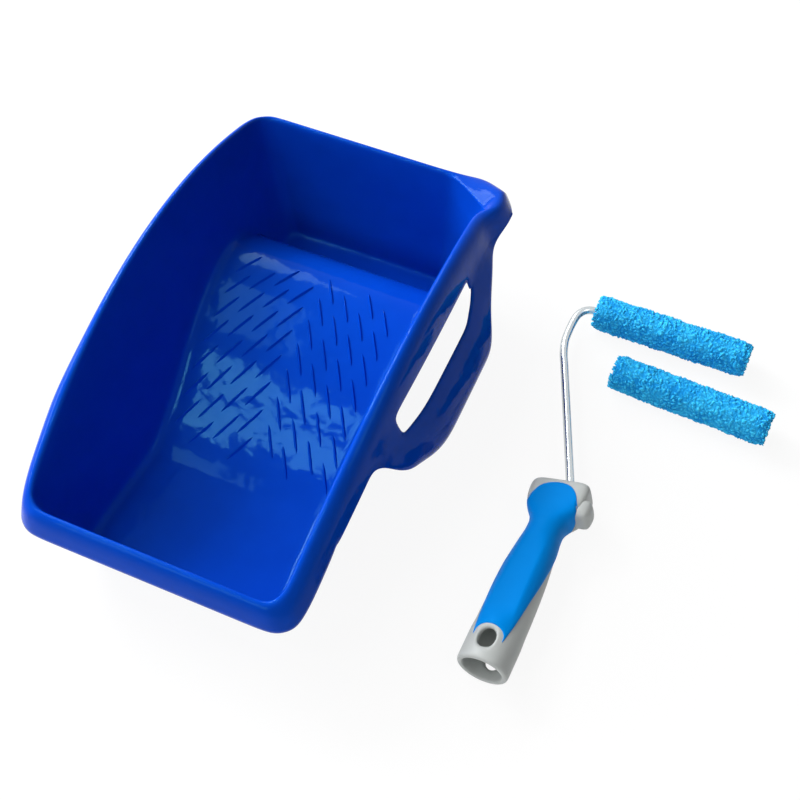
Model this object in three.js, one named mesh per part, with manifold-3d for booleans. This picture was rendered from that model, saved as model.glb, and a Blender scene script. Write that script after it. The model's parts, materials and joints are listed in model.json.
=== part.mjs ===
// Hand-held paint tray with its mini roller and a spare sleeve, laid out beside it on the floor.
// Millimetres, +Z up. The tray's near rim is at y = 0 and its middle at x = 0 until the last step,
// which moves the whole group so that the origin is at the middle of its footprint.
import * as THREE from 'three';
import { mergeVertices } from 'three/addons/utils/BufferGeometryUtils.js';
import Module from 'manifold-3d';

const wasm = await Module();
wasm.setup();

// ---- driving dimensions: tray ----
const WALL = 2.2;
const TRAY_LENGTH = 338;
const NEAR_HALF_WIDTH = 88;
const FAR_HALF_WIDTH = 92;
const SIDE_BULGE = 4.5;
const NEAR_RIM_HEIGHT = 69.4;
const FAR_RIM_HEIGHT = 104.5;
const RIM_ARCH = 41.7;
const SIDE_DRAFT = THREE.MathUtils.degToRad(12.9);
const NEAR_DRAFT = THREE.MathUtils.degToRad(14);
const FAR_DRAFT = THREE.MathUtils.degToRad(7.2);
const FLOOR_FILLET = 4;
const FLOOR_CORNER = 11;
const RIM_CORNER = 12;
const SPOUT_CUT_ACROSS = 29;
const SPOUT_CUT_ALONG = 21;
const SPOUT_EASE = 4;
const SPOUT_OUTER_CORNER = 28;
const SIDE_SKIRT_OUT = 15;
const SIDE_SKIRT_DROP = 18;
const END_SKIRT_OUT = 11;
const FAR_SKIRT_OUT = 7.8;
const END_SKIRT_DROP = 15;

// ---- driving dimensions: ramp and its ribs ----
const RAMP_FOOT = 104;
const RAMP_FOOT_HEIGHT = 1.6;
const RAMP_FOOT_SLOPE = 0.33;
const RAMP_MIDDLE = 150;
const RAMP_MIDDLE_HEIGHT = 22.7;
const RAMP_MIDDLE_SLOPE = 0.56;
const CREST_Y = 244;
const CREST_HEIGHT = 55;
const WELL_FAR_FOOT = 303;
const RIB_LENGTH = 23.5;
const RIB_HALF_WIDTH = 1.3;
const RIB_HEIGHT = 1.5;
const RIB_SINK = 0.5;
const RIB_TURN = THREE.MathUtils.degToRad(59);
const RIB_COLUMN_PITCH = 15.6;
const RIB_CENTRE_GAP = 19.2;
const RIB_ROW_PITCH = 18.2;
const RIB_ROW_SLANT = 0.56;

// ---- driving dimensions: side handle ----
const HANDLE_X = 107.5;
const HANDLE_TOP = 105.4;
const HANDLE_SLOPE = 0.45;
const SLOT_NEAR = 130;
const SLOT_FAR = 251;
const SLOT_HEIGHT = 17;
const SLOT_TOP_LAND = 0.8;
const BAR_BOTTOM = 56.8;
const BAR_NEAR = 152;
const BAR_FAR = 240;
const BRACKET_NEAR = 92;
const BRACKET_FAR = 300;
const BAR_BULGE = 3.2;

// ---- driving dimensions: roller ----
const SLEEVE_CORE_LENGTH = 112;
const PILE_LENGTH = 115;
const SLEEVE_BORE_RADIUS = 7.6;
const SLEEVE_CORE_RADIUS = 8.8;
const PILE_RADIUS = 13.3;
const ROD_RADIUS = 3;
const GRIP_RADIUS = 17.5;
const HANDLE_LENGTH = 118;
const HEAD_START = 112;
const HEAD_LENGTH = 38;
const HEAD_HALF_WIDTH = 21;
const HEAD_THICKNESS = 27;
const HEAD_ROUND = 2.4;
const TAIL_START = 14;
const TAIL_HEIGHT = 13.9;
const NECK_START = 88;
const FORK_RADIUS = 9.5;
const HANG_HOLE_AT = 15.5;
const HANG_HOLE_RADIUS = 5.8;
const SOCKET_RADIUS = 13.4;
const SOCKET_DEPTH = 52;
const OVERMOULD = 2.2;
const SEAM = 0.3;
const RUNNING_GAP = 0.06;
const CAGE_START = 7;
const CAGE_FIT = 0.35;
const COLLAR_LENGTH = 5;
const CAP_LENGTH = 12.6;

// ---- where the pieces lie beside the tray ----
const ROLLER_X = 209.5;
const ROLLER_Y = 31.5;
const ROLLER_TURN = THREE.MathUtils.degToRad(-1.8);
const SLEEVE_START = new THREE.Vector3(186.5, 334.3, PILE_RADIUS);
const SPARE_START = new THREE.Vector3(215.5, 286.6, PILE_RADIUS);
const SPARE_TURN = THREE.MathUtils.degToRad(-2.4);
const ROD_HEAD_X = 216.6;
const ROD_HEAD_Y = 180;
const ROD_KNEE_X = 174.2;
const ROD_KNEE_Y = 288;
const ROD_LEFT = 171.6;
const ROD_BEND = 11;

// ---- solids ----
const toSolid = (geometry) => {
  const bare = new THREE.BufferGeometry();
  const flat = geometry.index ? geometry.toNonIndexed() : geometry;
  bare.setAttribute('position', flat.getAttribute('position').clone());
  const merged = mergeVertices(bare, 1e-4);
  return new wasm.Manifold(new wasm.Mesh({
    numProp: 3,
    vertProperties: new Float32Array(merged.getAttribute('position').array),
    triVerts: new Uint32Array(merged.index.array),
  }));
};

const toGeometry = (solid) => {
  const mesh = solid.getMesh();
  const geometry = new THREE.BufferGeometry();
  geometry.setAttribute('position', new THREE.BufferAttribute(new Float32Array(mesh.vertProperties), 3));
  geometry.setIndex(new THREE.BufferAttribute(new Uint32Array(mesh.triVerts), 1));
  return geometry;
};

const union = (geometries) => {
  const solids = geometries.map(toSolid);
  return toGeometry(solids.reduce((a, b) => a.add(b)));
};
const cut = (geometry, ...tools) => toGeometry(tools.reduce((a, t) => a.subtract(toSolid(t)), toSolid(geometry)));
const common = (a, b) => toGeometry(toSolid(a).intersect(toSolid(b)));

const material = (color, roughness, metalness = 0) => new THREE.MeshStandardMaterial({ color, roughness, metalness });
const BLUE_PLASTIC = material(0x0a46b4, 0.22);
const GRIP_RUBBER = material(0x0a86e6, 0.5);
const GREY_PLASTIC = material(0xa8afaf, 0.45);
const ZINC = material(0xb9c0c6, 0.3, 0.9);
const PILE = material(0x2a9ae4, 0.95);
const CORE_PLASTIC = material(0xd8dcdc, 0.5);
const CAGE_PLASTIC = material(0x30343a, 0.5);

const group = new THREE.Group();
const add = (name, geometry, look) => {
  const mesh = new THREE.Mesh(geometry, look);
  mesh.name = name;
  geometry.computeVertexNormals();
  group.add(mesh);
};

// A slab whose outline is drawn in the (y, z) plane, running along x from one side to the other.
const slabAlongX = (outline, from, to) => {
  const geometry = new THREE.ExtrudeGeometry(outline, { depth: to - from, bevelEnabled: false, curveSegments: 6 });
  return geometry.applyMatrix4(new THREE.Matrix4().set(0, 0, 1, from, 1, 0, 0, 0, 0, 1, 0, 0, 0, 0, 0, 1));
};

// A slab whose outline is drawn in plan, running up z from one height to the other.
const slabAlongZ = (outline, from, to, bevel = 0) => {
  const geometry = new THREE.ExtrudeGeometry(outline, {
    depth: to - from - 2 * bevel,
    bevelEnabled: bevel > 0,
    bevelSize: bevel,
    bevelOffset: -bevel,
    bevelThickness: bevel,
    bevelSegments: 2,
    curveSegments: 6,
  });
  return geometry.translate(0, 0, from + bevel);
};

// ---- tray: the curves that every ring of its skin follows ----
const rimShare = (y) => THREE.MathUtils.clamp(y / TRAY_LENGTH, 0, 1);
const rimHeight = (y) => {
  const s = rimShare(y);
  return THREE.MathUtils.lerp(NEAR_RIM_HEIGHT, FAR_RIM_HEIGHT, s) + RIM_ARCH * 4 * s * (1 - s);
};
const rimHalfWidth = (y) => {
  const s = rimShare(y);
  return THREE.MathUtils.lerp(NEAR_HALF_WIDTH, FAR_HALF_WIDTH, s) + SIDE_BULGE * 4 * s * (1 - s);
};

const FLOOR_NEAR = Math.tan(NEAR_DRAFT) * (NEAR_RIM_HEIGHT - WALL);
const FLOOR_FAR = TRAY_LENGTH - Math.tan(FAR_DRAFT) * (FAR_RIM_HEIGHT - WALL);

// The floor seen from the side: near well, ramp, rounded crest, far well. The ramp rises slowly from
// its foot, is steepest in its middle and then rounds over. Each curve comes with its number of steps.
const floorCurves = () => {
  const at = (y, height) => new THREE.Vector2(y, WALL + height);
  const lower = (RAMP_MIDDLE - RAMP_FOOT) / 3;
  const upper = (CREST_Y - RAMP_MIDDLE) / 3;
  const back = WELL_FAR_FOOT - CREST_Y;
  const near = at(FLOOR_NEAR + FLOOR_FILLET + FLOOR_CORNER, 0);
  const toe = at(RAMP_FOOT - 1.6 * RAMP_FOOT_HEIGHT / RAMP_FOOT_SLOPE, 0);
  const foot = at(RAMP_FOOT, RAMP_FOOT_HEIGHT);
  const middle = at(RAMP_MIDDLE, RAMP_MIDDLE_HEIGHT);
  const crest = at(CREST_Y, CREST_HEIGHT);
  const heel = at(WELL_FAR_FOOT, 0);
  const halfway = near.clone().lerp(toe, 0.5);
  return [
    [new THREE.LineCurve(near, halfway), 1],
    [new THREE.LineCurve(halfway, toe), 1],
    [new THREE.QuadraticBezierCurve(toe, at(RAMP_FOOT - RAMP_FOOT_HEIGHT / RAMP_FOOT_SLOPE, 0), foot), 2],
    [new THREE.CubicBezierCurve(
      foot,
      at(RAMP_FOOT + lower, RAMP_FOOT_HEIGHT + lower * RAMP_FOOT_SLOPE),
      at(RAMP_MIDDLE - lower, RAMP_MIDDLE_HEIGHT - lower * RAMP_MIDDLE_SLOPE),
      middle,
    ), 4],
    [new THREE.CubicBezierCurve(
      middle,
      at(RAMP_MIDDLE + upper, RAMP_MIDDLE_HEIGHT + upper * RAMP_MIDDLE_SLOPE),
      at(CREST_Y - upper, CREST_HEIGHT),
      crest,
    ), 7],
    [new THREE.CubicBezierCurve(
      crest,
      at(CREST_Y + 0.45 * back, CREST_HEIGHT),
      at(CREST_Y + 0.72 * back, 0.72 * CREST_HEIGHT),
      heel,
    ), 8],
    [new THREE.LineCurve(heel, at(FLOOR_FAR - FLOOR_FILLET - FLOOR_CORNER, 0)), 1],
  ];
};

const profileRows = () => {
  const rows = floorCurves().flatMap(([curve, steps]) => curve.getPoints(steps).slice(0, steps));
  return [...rows, floorCurves().pop()[0].v2];
};

const heightAt = (y, rows) => {
  const next = rows.findIndex((p) => p.x >= y);
  const [a, b] = [rows[next - 1], rows[next]];
  return THREE.MathUtils.mapLinear(y, a.x, b.x, a.y, b.y);
};

// ---- tray: a rounded rectangle of NX by NY cells, on which each ring of the skin is a boundary ----
const NX = 12;
const ROWS = profileRows();
const NY = ROWS.length + 3;

// How far a boundary or inner point lies from the sharp corner; a and b count cells from the edges.
const cornerInset = (a, b, radius) => {
  if (a > 0 && b > 0) return [radius * a / 2, radius * b / 2];
  const turn = (Math.PI / 4) * (1 - (a + b) / 2);
  const along = radius * (1 - Math.sin(turn));
  const across = radius * (1 - Math.cos(turn));
  return b === 0 ? [along, across] : [across, along];
};
const roundCorner = (radius) => ({ across: radius, along: radius, inset: (a, b) => cornerInset(a, b, radius) });

// The spout is the far right corner: cut straight across on its inner side, round on its outer side.
const spoutCorner = (share) => {
  const run = Math.hypot(SPOUT_CUT_ACROSS, SPOUT_CUT_ALONG);
  const easeAcross = SPOUT_EASE * SPOUT_CUT_ACROSS / run;
  const easeAlong = SPOUT_EASE * SPOUT_CUT_ALONG / run;
  const middle = [SPOUT_CUT_ACROSS / 2, SPOUT_CUT_ALONG / 2];
  const onEnd = [middle, [SPOUT_CUT_ACROSS - easeAcross, easeAlong]];
  const onSide = [middle, [easeAcross, SPOUT_CUT_ALONG - easeAlong]];
  const between = (straight, round) => THREE.MathUtils.lerp(straight, round, share);
  return {
    across: between(SPOUT_CUT_ACROSS + SPOUT_EASE, SPOUT_OUTER_CORNER),
    along: between(SPOUT_CUT_ALONG + SPOUT_EASE, SPOUT_OUTER_CORNER),
    inset: (a, b) => {
      const straight = b === 0 ? onEnd[a] : onSide[b];
      return cornerInset(a, b, SPOUT_OUTER_CORNER).map((round, n) => between(straight[n], round));
    },
  };
};

// One point of a ring or of the floor. A ring gives its half width, its two ends and its corners.
const cellPoint = (ring, i, j) => {
  const a = Math.min(i, NX - i);
  const b = Math.min(j, NY - j);
  const right = i > NX / 2;
  const far = j > NY / 2;
  const corner = ring.corner(right, far);
  const inCorner = a < 2 && b < 2;
  const [dx, dy] = inCorner ? corner.inset(a, b) : [corner.across * a / 2, corner.along * b / 2];
  const row = ROWS[THREE.MathUtils.clamp(j - 2, 0, ROWS.length - 1)];
  const ends = ring.ends(right);
  const y = b < 2 ? (far ? ends[1] - dy : ends[0] + dy) : ring.rowY(row, corner.along, ends);
  const half = ring.half(y, row.y, right);
  const inner = half - corner.across;
  const spread = (2 * (i - 2)) / (NX - 4) - 1;
  const x = a < 2 ? (half - dx) * (right ? 1 : -1) : inner * spread;
  return new THREE.Vector3(x, y, 0);
};

const floorRing = (inset, lift) => ({
  corner: () => roundCorner(FLOOR_CORNER),
  ends: () => [FLOOR_NEAR + inset, FLOOR_FAR - inset],
  rowY: (row) => row.x,
  half: (y, z) => {
    const rimY = THREE.MathUtils.mapLinear(y, FLOOR_NEAR, FLOOR_FAR, 0, TRAY_LENGTH);
    return rimHalfWidth(rimY) - Math.tan(SIDE_DRAFT) * (rimHeight(rimY) - z - lift) - inset;
  },
});

// Rows of the floor spread out along the longer rim, and bunch up before a large far corner.
const onRim = (floorY) => THREE.MathUtils.mapLinear(floorY, FLOOR_NEAR, FLOOR_FAR, 0, TRAY_LENGTH);
const rimRing = (sideOut, endOut, spout) => ({
  corner: (right, far) => (right && far ? spoutCorner(spout) : roundCorner(RIM_CORNER + endOut)),
  ends: () => [-endOut, TRAY_LENGTH + FAR_SKIRT_OUT * (endOut / END_SKIRT_OUT) ** 0.75],
  rowY: (row, radius, ends) => {
    const last = onRim(ROWS[ROWS.length - 1].x);
    const room = Math.min(last, ends[1] - radius - 2);
    const y = onRim(row.x);
    return y < CREST_Y ? y : THREE.MathUtils.mapLinear(y, CREST_Y, last, CREST_Y, room);
  },
  half: (y) => rimHalfWidth(y) + sideOut,
});

const floorPoint = (inset, lift) => (i, j) => {
  const point = cellPoint(floorRing(inset, lift), i, j);
  const row = ROWS[THREE.MathUtils.clamp(j - 2, 0, ROWS.length - 1)];
  point.z = row.y + lift;
  return point;
};

const rimPoint = (out, drop, spout) => (i, j) => {
  const onEnd = Math.min(j, NY - j) === 0;
  const onSide = Math.min(i, NX - i) === 0;
  const point = cellPoint(rimRing(out * SIDE_SKIRT_OUT, out * END_SKIRT_OUT, spout), i, j);
  const onSpout = NX - i + NY - j < 2;
  const lowered = onSpout ? drop * drop : drop;
  const sideDrop = lowered * SIDE_SKIRT_DROP;
  const endDrop = lowered * END_SKIRT_DROP;
  const mixed = (sideDrop + endDrop) / 2;
  const fall = onEnd && onSide ? mixed : onEnd ? endDrop : sideDrop;
  const height = rimHeight(point.y);
  const handled = i === NX && point.y > BRACKET_NEAR && point.y < BRACKET_FAR;
  point.z = handled ? Math.min(height - fall, THREE.MathUtils.lerp(height, HANDLE_TOP, drop)) : height - fall;
  return point;
};

const mix = (first, second, share) => (i, j) => first(i, j).lerp(second(i, j), share);

// From the floor's edge up the drafted wall, over the rolled rim and down the outer skirt.
const skinRings = () => {
  const footing = floorPoint(0, FLOOR_FILLET);
  const lip = rimPoint(0, 0.1, 0);
  return [
    floorPoint(0.3 * FLOOR_FILLET, 0.3 * FLOOR_FILLET),
    footing,
    mix(footing, lip, 0.5),
    lip,
    rimPoint(0.25, 0, 0.2),
    rimPoint(0.52, 0.1, 0.6),
    rimPoint(0.8, 0.5, 0.9),
    rimPoint(1, 1, 1),
  ];
};

const boundaryCells = () => {
  const cells = [];
  for (let i = 0; i < NX; i += 1) cells.push([i, 0]);
  for (let j = 0; j < NY; j += 1) cells.push([NX, j]);
  for (let i = NX; i > 0; i -= 1) cells.push([i, NY]);
  for (let j = NY; j > 0; j -= 1) cells.push([0, j]);
  return cells;
};

// ---- tray: side handle, a plate that carries on down from the right-hand skirt ----
const handleX = (z) => HANDLE_X + HANDLE_SLOPE * (HANDLE_TOP - z);

// Lower edge of the plate, seen from the side: bracket, straight bar, sweep up to the far corner.
const handleEdge = () => {
  const path = new THREE.Path();
  path.moveTo(BRACKET_NEAR, HANDLE_TOP - 16);
  path.bezierCurveTo(
    BRACKET_NEAR + 13, HANDLE_TOP - 14.5,
    BRACKET_NEAR + 16, HANDLE_TOP - 22,
    BAR_NEAR - 33, BAR_BOTTOM + 18.7,
  );
  path.bezierCurveTo(BAR_NEAR - 26, BAR_BOTTOM + 14.2, BAR_NEAR - 14, BAR_BOTTOM + 5, BAR_NEAR + 2, BAR_BOTTOM);
  path.lineTo(BAR_FAR - 6, BAR_BOTTOM);
  path.bezierCurveTo(BAR_FAR + 7, BAR_BOTTOM, BAR_FAR + 10, BAR_BOTTOM + 16, BAR_FAR + 27, HANDLE_TOP - 20);
  path.quadraticCurveTo(BAR_FAR + 41, HANDLE_TOP - 8, BRACKET_FAR, HANDLE_TOP - 9);
  return path;
};

const handleShares = [0.17, 0.36, 0.52, 0.68, 0.84, 1];

const handleRows = (ringPoints, cells) => {
  const edge = handleEdge().getPoints(16);
  const rows = [];
  cells.forEach(([i, j], k) => {
    const top = ringPoints[k];
    if (i !== NX || top.y < BRACKET_NEAR + 1 || top.y > BRACKET_FAR - 1) return;
    const bottom = heightAt(top.y, edge);
    const away = 0.3 + 0.7 * THREE.MathUtils.smoothstep(top.y, BRACKET_NEAR, BRACKET_NEAR + 34)
      * (1 - THREE.MathUtils.smoothstep(top.y, BRACKET_FAR - 34, BRACKET_FAR));
    const foot = THREE.MathUtils.lerp(top.x, handleX(bottom), away);
    const inBar = THREE.MathUtils.smoothstep(top.y, BAR_NEAR - 40, BAR_NEAR)
      * (1 - THREE.MathUtils.smoothstep(top.y, BAR_FAR - 8, BAR_FAR + 28));
    const points = handleShares.map((share) => {
      const z = THREE.MathUtils.lerp(top.z, bottom, share);
      const bulge = inBar * BAR_BULGE * Math.max(0, Math.sin(Math.PI * (share - 0.36) / 0.64));
      const x = THREE.MathUtils.lerp(top.x, foot, share);
      return new THREE.Vector3(x + bulge, top.y, z + 0.4 * bulge);
    });
    const last = points[points.length - 1];
    points.push(new THREE.Vector3(last.x - 1.5 * inBar + 0.3, top.y, last.z - away * (2.5 + 2 * inBar)));
    points.push(new THREE.Vector3(last.x - 5 * inBar + 0.3, top.y, last.z - away * (4 + 4.5 * inBar)));
    rows.push({ k, points });
  });
  return rows;
};

// ---- tray: skin to shell ----
const buildSkin = () => {
  const points = [];
  const quads = [];
  const put = (p) => points.push(p) - 1;
  const grid = [];
  const bed = floorPoint(FLOOR_FILLET, 0);
  for (let i = 0; i <= NX; i += 1) {
    grid.push([]);
    for (let j = 0; j <= NY; j += 1) grid[i].push(put(bed(i, j)));
  }
  for (let i = 0; i < NX; i += 1) {
    for (let j = 0; j < NY; j += 1) quads.push([grid[i][j], grid[i + 1][j], grid[i + 1][j + 1], grid[i][j + 1]]);
  }
  const cells = boundaryCells();
  let previous = cells.map(([i, j]) => grid[i][j]);
  skinRings().forEach((ring) => {
    const next = cells.map(([i, j]) => put(ring(i, j)));
    next.forEach((id, k) => {
      const after = (k + 1) % next.length;
      quads.push([previous[k], id, next[after], previous[after]]);
    });
    previous = next;
  });
  const rows = handleRows(previous.map((id) => points[id]), cells).map((row) => [previous[row.k], ...row.points.map(put)]);
  for (let r = 0; r + 1 < rows.length; r += 1) {
    rows[r].slice(1).forEach((id, c) => quads.push([rows[r][c], id, rows[r + 1][c + 1], rows[r + 1][c]]));
  }
  return { points, quads };
};

// Gives a skin its thickness: a copy of it is laid one wall below, and every free edge is closed.
const thicken = ({ points, quads }, wall) => {
  const normals = points.map(() => new THREE.Vector3());
  quads.forEach((quad) => {
    const [a, b, c, d] = quad.map((id) => points[id]);
    const facing = new THREE.Vector3().subVectors(c, a).cross(new THREE.Vector3().subVectors(d, b)).normalize();
    quad.forEach((id) => normals[id].add(facing));
  });
  const count = points.length;
  const position = [];
  points.forEach((p) => position.push(p.x, p.y, p.z));
  points.forEach((p, id) => {
    const n = normals[id].normalize();
    position.push(p.x - n.x * wall, p.y - n.y * wall, p.z - n.z * wall);
  });
  const index = [];
  const edges = new Map();
  quads.forEach(([a, b, c, d]) => {
    index.push(a, b, c, a, c, d);
    index.push(count + a, count + c, count + b, count + a, count + d, count + c);
    [[a, b], [b, c], [c, d], [d, a]].forEach(([from, to]) => edges.set(`${from}_${to}`, [from, to]));
  });
  edges.forEach(([from, to]) => {
    if (edges.has(`${to}_${from}`)) return;
    index.push(from, count + from, to, to, count + from, count + to);
  });
  const geometry = new THREE.BufferGeometry();
  geometry.setAttribute('position', new THREE.Float32BufferAttribute(position, 3));
  geometry.setIndex(index);
  return geometry;
};

// Raised ribs that squeeze paint off the roller: two fields that lean towards each other.
const rampRibs = () => {
  const ribs = [];
  const columns = [0, 1, 2, 3].flatMap((c) => {
    const x = RIB_CENTRE_GAP / 2 + c * RIB_COLUMN_PITCH;
    return [x, -x];
  });
  const height = RIB_HEIGHT + RIB_SINK;
  const grow = height / RIB_HEIGHT;
  const highest = CREST_Y + 3;
  const lowest = RAMP_FOOT + 10;
  columns.forEach((x) => {
    const first = CREST_Y - 9 + RIB_ROW_SLANT * x;
    const start = first + Math.floor((highest - first) / RIB_ROW_PITCH) * RIB_ROW_PITCH;
    for (let y = start; y > lowest; y -= RIB_ROW_PITCH) {
      const slope = Math.atan2(heightAt(y + 4, ROWS) - heightAt(y - 4, ROWS), 8);
      const rib = new THREE.OctahedronGeometry(1, 0).scale(grow * RIB_LENGTH / 2, grow * RIB_HALF_WIDTH, height);
      rib.rotateZ(x > 0 ? -RIB_TURN : RIB_TURN).rotateX(slope);
      ribs.push(rib.translate(x, y, heightAt(y, ROWS) - RIB_SINK));
    }
  });
  return ribs;
};

const slotOutline = () => {
  const top = HANDLE_TOP - SLOT_TOP_LAND;
  const bottom = top - SLOT_HEIGHT;
  const r = 6;
  const shape = new THREE.Shape();
  shape.moveTo(SLOT_NEAR + r, top);
  shape.quadraticCurveTo(SLOT_NEAR, top, SLOT_NEAR, top - r);
  shape.lineTo(SLOT_NEAR + 1, bottom + 4);
  shape.quadraticCurveTo(SLOT_NEAR + 2, bottom, SLOT_NEAR + 8, bottom);
  shape.lineTo(SLOT_FAR - 20, bottom);
  shape.quadraticCurveTo(SLOT_FAR - 13, bottom, SLOT_FAR - 8, bottom + 5);
  shape.lineTo(SLOT_FAR - 1, top - r);
  shape.quadraticCurveTo(SLOT_FAR + 1, top, SLOT_FAR - r, top);
  return shape;
};

const makeTray = () => {
  const shell = thicken(buildSkin(), WALL);
  const slot = slabAlongX(slotOutline(), HANDLE_X - 11, HANDLE_X + 25);
  return union([cut(shell, slot), ...rampRibs()]);
};

// ---- roller: a handle body lofted through rounded sections along y ----
// Each row gives the place along the handle, then the half width and half height, as shares.
const handleSections = [
  [0, 0.966, 0.966],
  [0.01, 1, 1],
  [0.254, 1, 0.983],
  [0.44, 0.977, 0.954],
  [0.627, 0.909, 0.886],
  [0.763, 0.806, 0.794],
  [0.873, 0.691, 0.714],
  [0.958, 0.657, 0.68],
  [1.05, 0.743, 0.691],
].map(([along, across, up]) => ({
  y: along * HANDLE_LENGTH,
  half: across * GRIP_RADIUS,
  rise: up * GRIP_RADIUS,
}));

const loftHandle = (inset) => {
  const sides = 24;
  const position = [];
  const index = [];
  handleSections.forEach(({ y, half, rise }) => {
    for (let s = 0; s < sides; s += 1) {
      const turn = (2 * Math.PI * s) / sides;
      position.push((half - inset) * Math.cos(turn), y, (rise - inset) * Math.sin(turn));
    }
  });
  const last = (handleSections.length - 1) * sides;
  for (let r = 0; r < last; r += sides) {
    for (let s = 0; s < sides; s += 1) {
      const t = (s + 1) % sides;
      index.push(r + s, r + sides + s, r + t, r + t, r + sides + s, r + sides + t);
    }
  }
  for (let s = 1; s + 1 < sides; s += 1) {
    index.push(0, s, s + 1);
    index.push(last, last + s + 1, last + s);
  }
  const geometry = new THREE.BufferGeometry();
  geometry.setAttribute('position', new THREE.Float32BufferAttribute(position, 3));
  geometry.setIndex(index);
  return geometry;
};

// The broad head in plan, with its thumb lug on the right.
const headOutline = () => {
  const at = (across, along) => [across * HEAD_HALF_WIDTH, HEAD_START + along * HEAD_LENGTH];
  const shape = new THREE.Shape();
  shape.moveTo(...at(-0.52, 0));
  shape.quadraticCurveTo(...at(-0.71, 0.21), ...at(-0.9, 0.32));
  shape.quadraticCurveTo(...at(-1.05, 0.53), ...at(-0.98, 0.76));
  shape.quadraticCurveTo(...at(-0.93, 0.88), ...at(-0.71, 0.895));
  shape.lineTo(...at(0.62, 1));
  shape.quadraticCurveTo(...at(0.83, 1.01), ...at(0.84, 0.895));
  shape.lineTo(...at(0.83, 0.76));
  shape.quadraticCurveTo(...at(1.17, 0.72), ...at(1.19, 0.55));
  shape.quadraticCurveTo(...at(1.17, 0.26), ...at(0.81, 0.2));
  shape.quadraticCurveTo(...at(0.62, 0.16), ...at(0.55, 0));
  return shape;
};

const HEAD_MIDDLE = HEAD_START + HEAD_LENGTH / 2;
const makeHead = (inset) => {
  const shrink = 1 - inset / HEAD_HALF_WIDTH;
  const head = slabAlongZ(headOutline(), -HEAD_THICKNESS / 2 + inset, HEAD_THICKNESS / 2 - inset, HEAD_ROUND);
  return head.translate(0, -HEAD_MIDDLE, 0).scale(shrink, shrink, 1).translate(0, HEAD_MIDDLE, 0);
};

// What the soft grip covers: the whole neck, a tongue over the head and a forked tail along the body.
const gripReach = (grow) => {
  const beyond = 2 * GRIP_RADIUS;
  const top = TAIL_HEIGHT - grow;
  const bend = (TAIL_START + NECK_START) / 2;
  const side = new THREE.Shape();
  side.moveTo(TAIL_START - grow, beyond);
  side.lineTo(HANDLE_LENGTH + grow, beyond);
  side.lineTo(HANDLE_LENGTH + grow, -beyond);
  side.lineTo(TAIL_START - grow, -beyond);
  side.lineTo(TAIL_START - grow, -top);
  side.quadraticCurveTo(bend, -0.8 * top, NECK_START - 3 * grow, 0);
  side.quadraticCurveTo(bend, 0.8 * top, TAIL_START - grow, top);
  const body = slabAlongX(side, -beyond, beyond);
  const fork = new THREE.CylinderGeometry(FORK_RADIUS - grow, FORK_RADIUS - grow, 2 * beyond, 20);
  fork.rotateX(Math.PI / 2).translate(0, HANG_HOLE_AT, 0);
  const at = (across, along) => [
    across * (HEAD_HALF_WIDTH + grow),
    HEAD_START + along * (HEAD_LENGTH + grow),
  ];
  const tongue = new THREE.Shape();
  tongue.moveTo(...at(-0.6, 0.1));
  tongue.bezierCurveTo(...at(-0.95, 0.42), ...at(-0.71, 0.895), ...at(0, 0.895));
  tongue.bezierCurveTo(...at(0.62, 0.895), ...at(0.64, 0.53), ...at(0.6, 0.1));
  return union([cut(body, fork), slabAlongZ(tongue, -beyond, beyond)]);
};

const placeOnFloor = (geometry) => geometry
  .rotateZ(ROLLER_TURN)
  .translate(ROLLER_X, ROLLER_Y, GRIP_RADIUS);

// The rod leaves the head at a slant, bows out and comes back square to the handle as the axle.
const rodRoute = () => {
  const z = PILE_RADIUS;
  const axleY = SLEEVE_START.y;
  const bend = ROD_BEND;
  const left = ROD_LEFT;
  const head = new THREE.Vector3(ROD_HEAD_X, ROD_HEAD_Y, GRIP_RADIUS);
  const knee = new THREE.Vector3(ROD_KNEE_X, ROD_KNEE_Y, z + 0.8);
  const start = new THREE.Vector3().lerpVectors(head, knee, -0.13);
  const bendStart = new THREE.Vector3().lerpVectors(head, knee, 0.94);
  const points = [
    bendStart,
    new THREE.Vector3().lerpVectors(head, knee, 0.99),
    new THREE.Vector3(left + 0.3, ROD_KNEE_Y + bend, z + 0.3),
    new THREE.Vector3(left - 0.2, axleY - bend - 10, z),
    new THREE.Vector3(left + 0.6, axleY - bend + 1, z),
    new THREE.Vector3(left + 3.6, axleY - 3.4, z),
    new THREE.Vector3(left + bend - 1, axleY - 0.1, z),
    new THREE.Vector3(left + bend + 3, axleY, z),
  ];
  const route = new THREE.CurvePath();
  route.add(new THREE.LineCurve3(start, bendStart));
  route.add(new THREE.CatmullRomCurve3(points, false, 'centripetal'));
  route.add(new THREE.LineCurve3(points[points.length - 1], new THREE.Vector3(axleEnd(), axleY, z)));
  return route;
};

const axleEnd = () => SLEEVE_START.x + SLEEVE_CORE_LENGTH - 4;

const sweep = (route, radius, sides, steps) => {
  const outline = new THREE.Shape(new THREE.EllipseCurve(0, 0, radius, radius).getPoints(sides).slice(0, sides));
  return new THREE.ExtrudeGeometry(outline, { steps, bevelEnabled: false, extrudePath: route });
};

const makeRod = () => sweep(rodRoute(), ROD_RADIUS, 12, 44);

const rodHole = () => {
  const { v1, v2 } = rodRoute().curves[0];
  const run = new THREE.Vector3().subVectors(v2, v1).normalize();
  const blind = v1.clone().addScaledVector(run, -SEAM);
  return sweep(new THREE.LineCurve3(blind, v2), ROD_RADIUS + SEAM, 12, 1);
};

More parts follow.
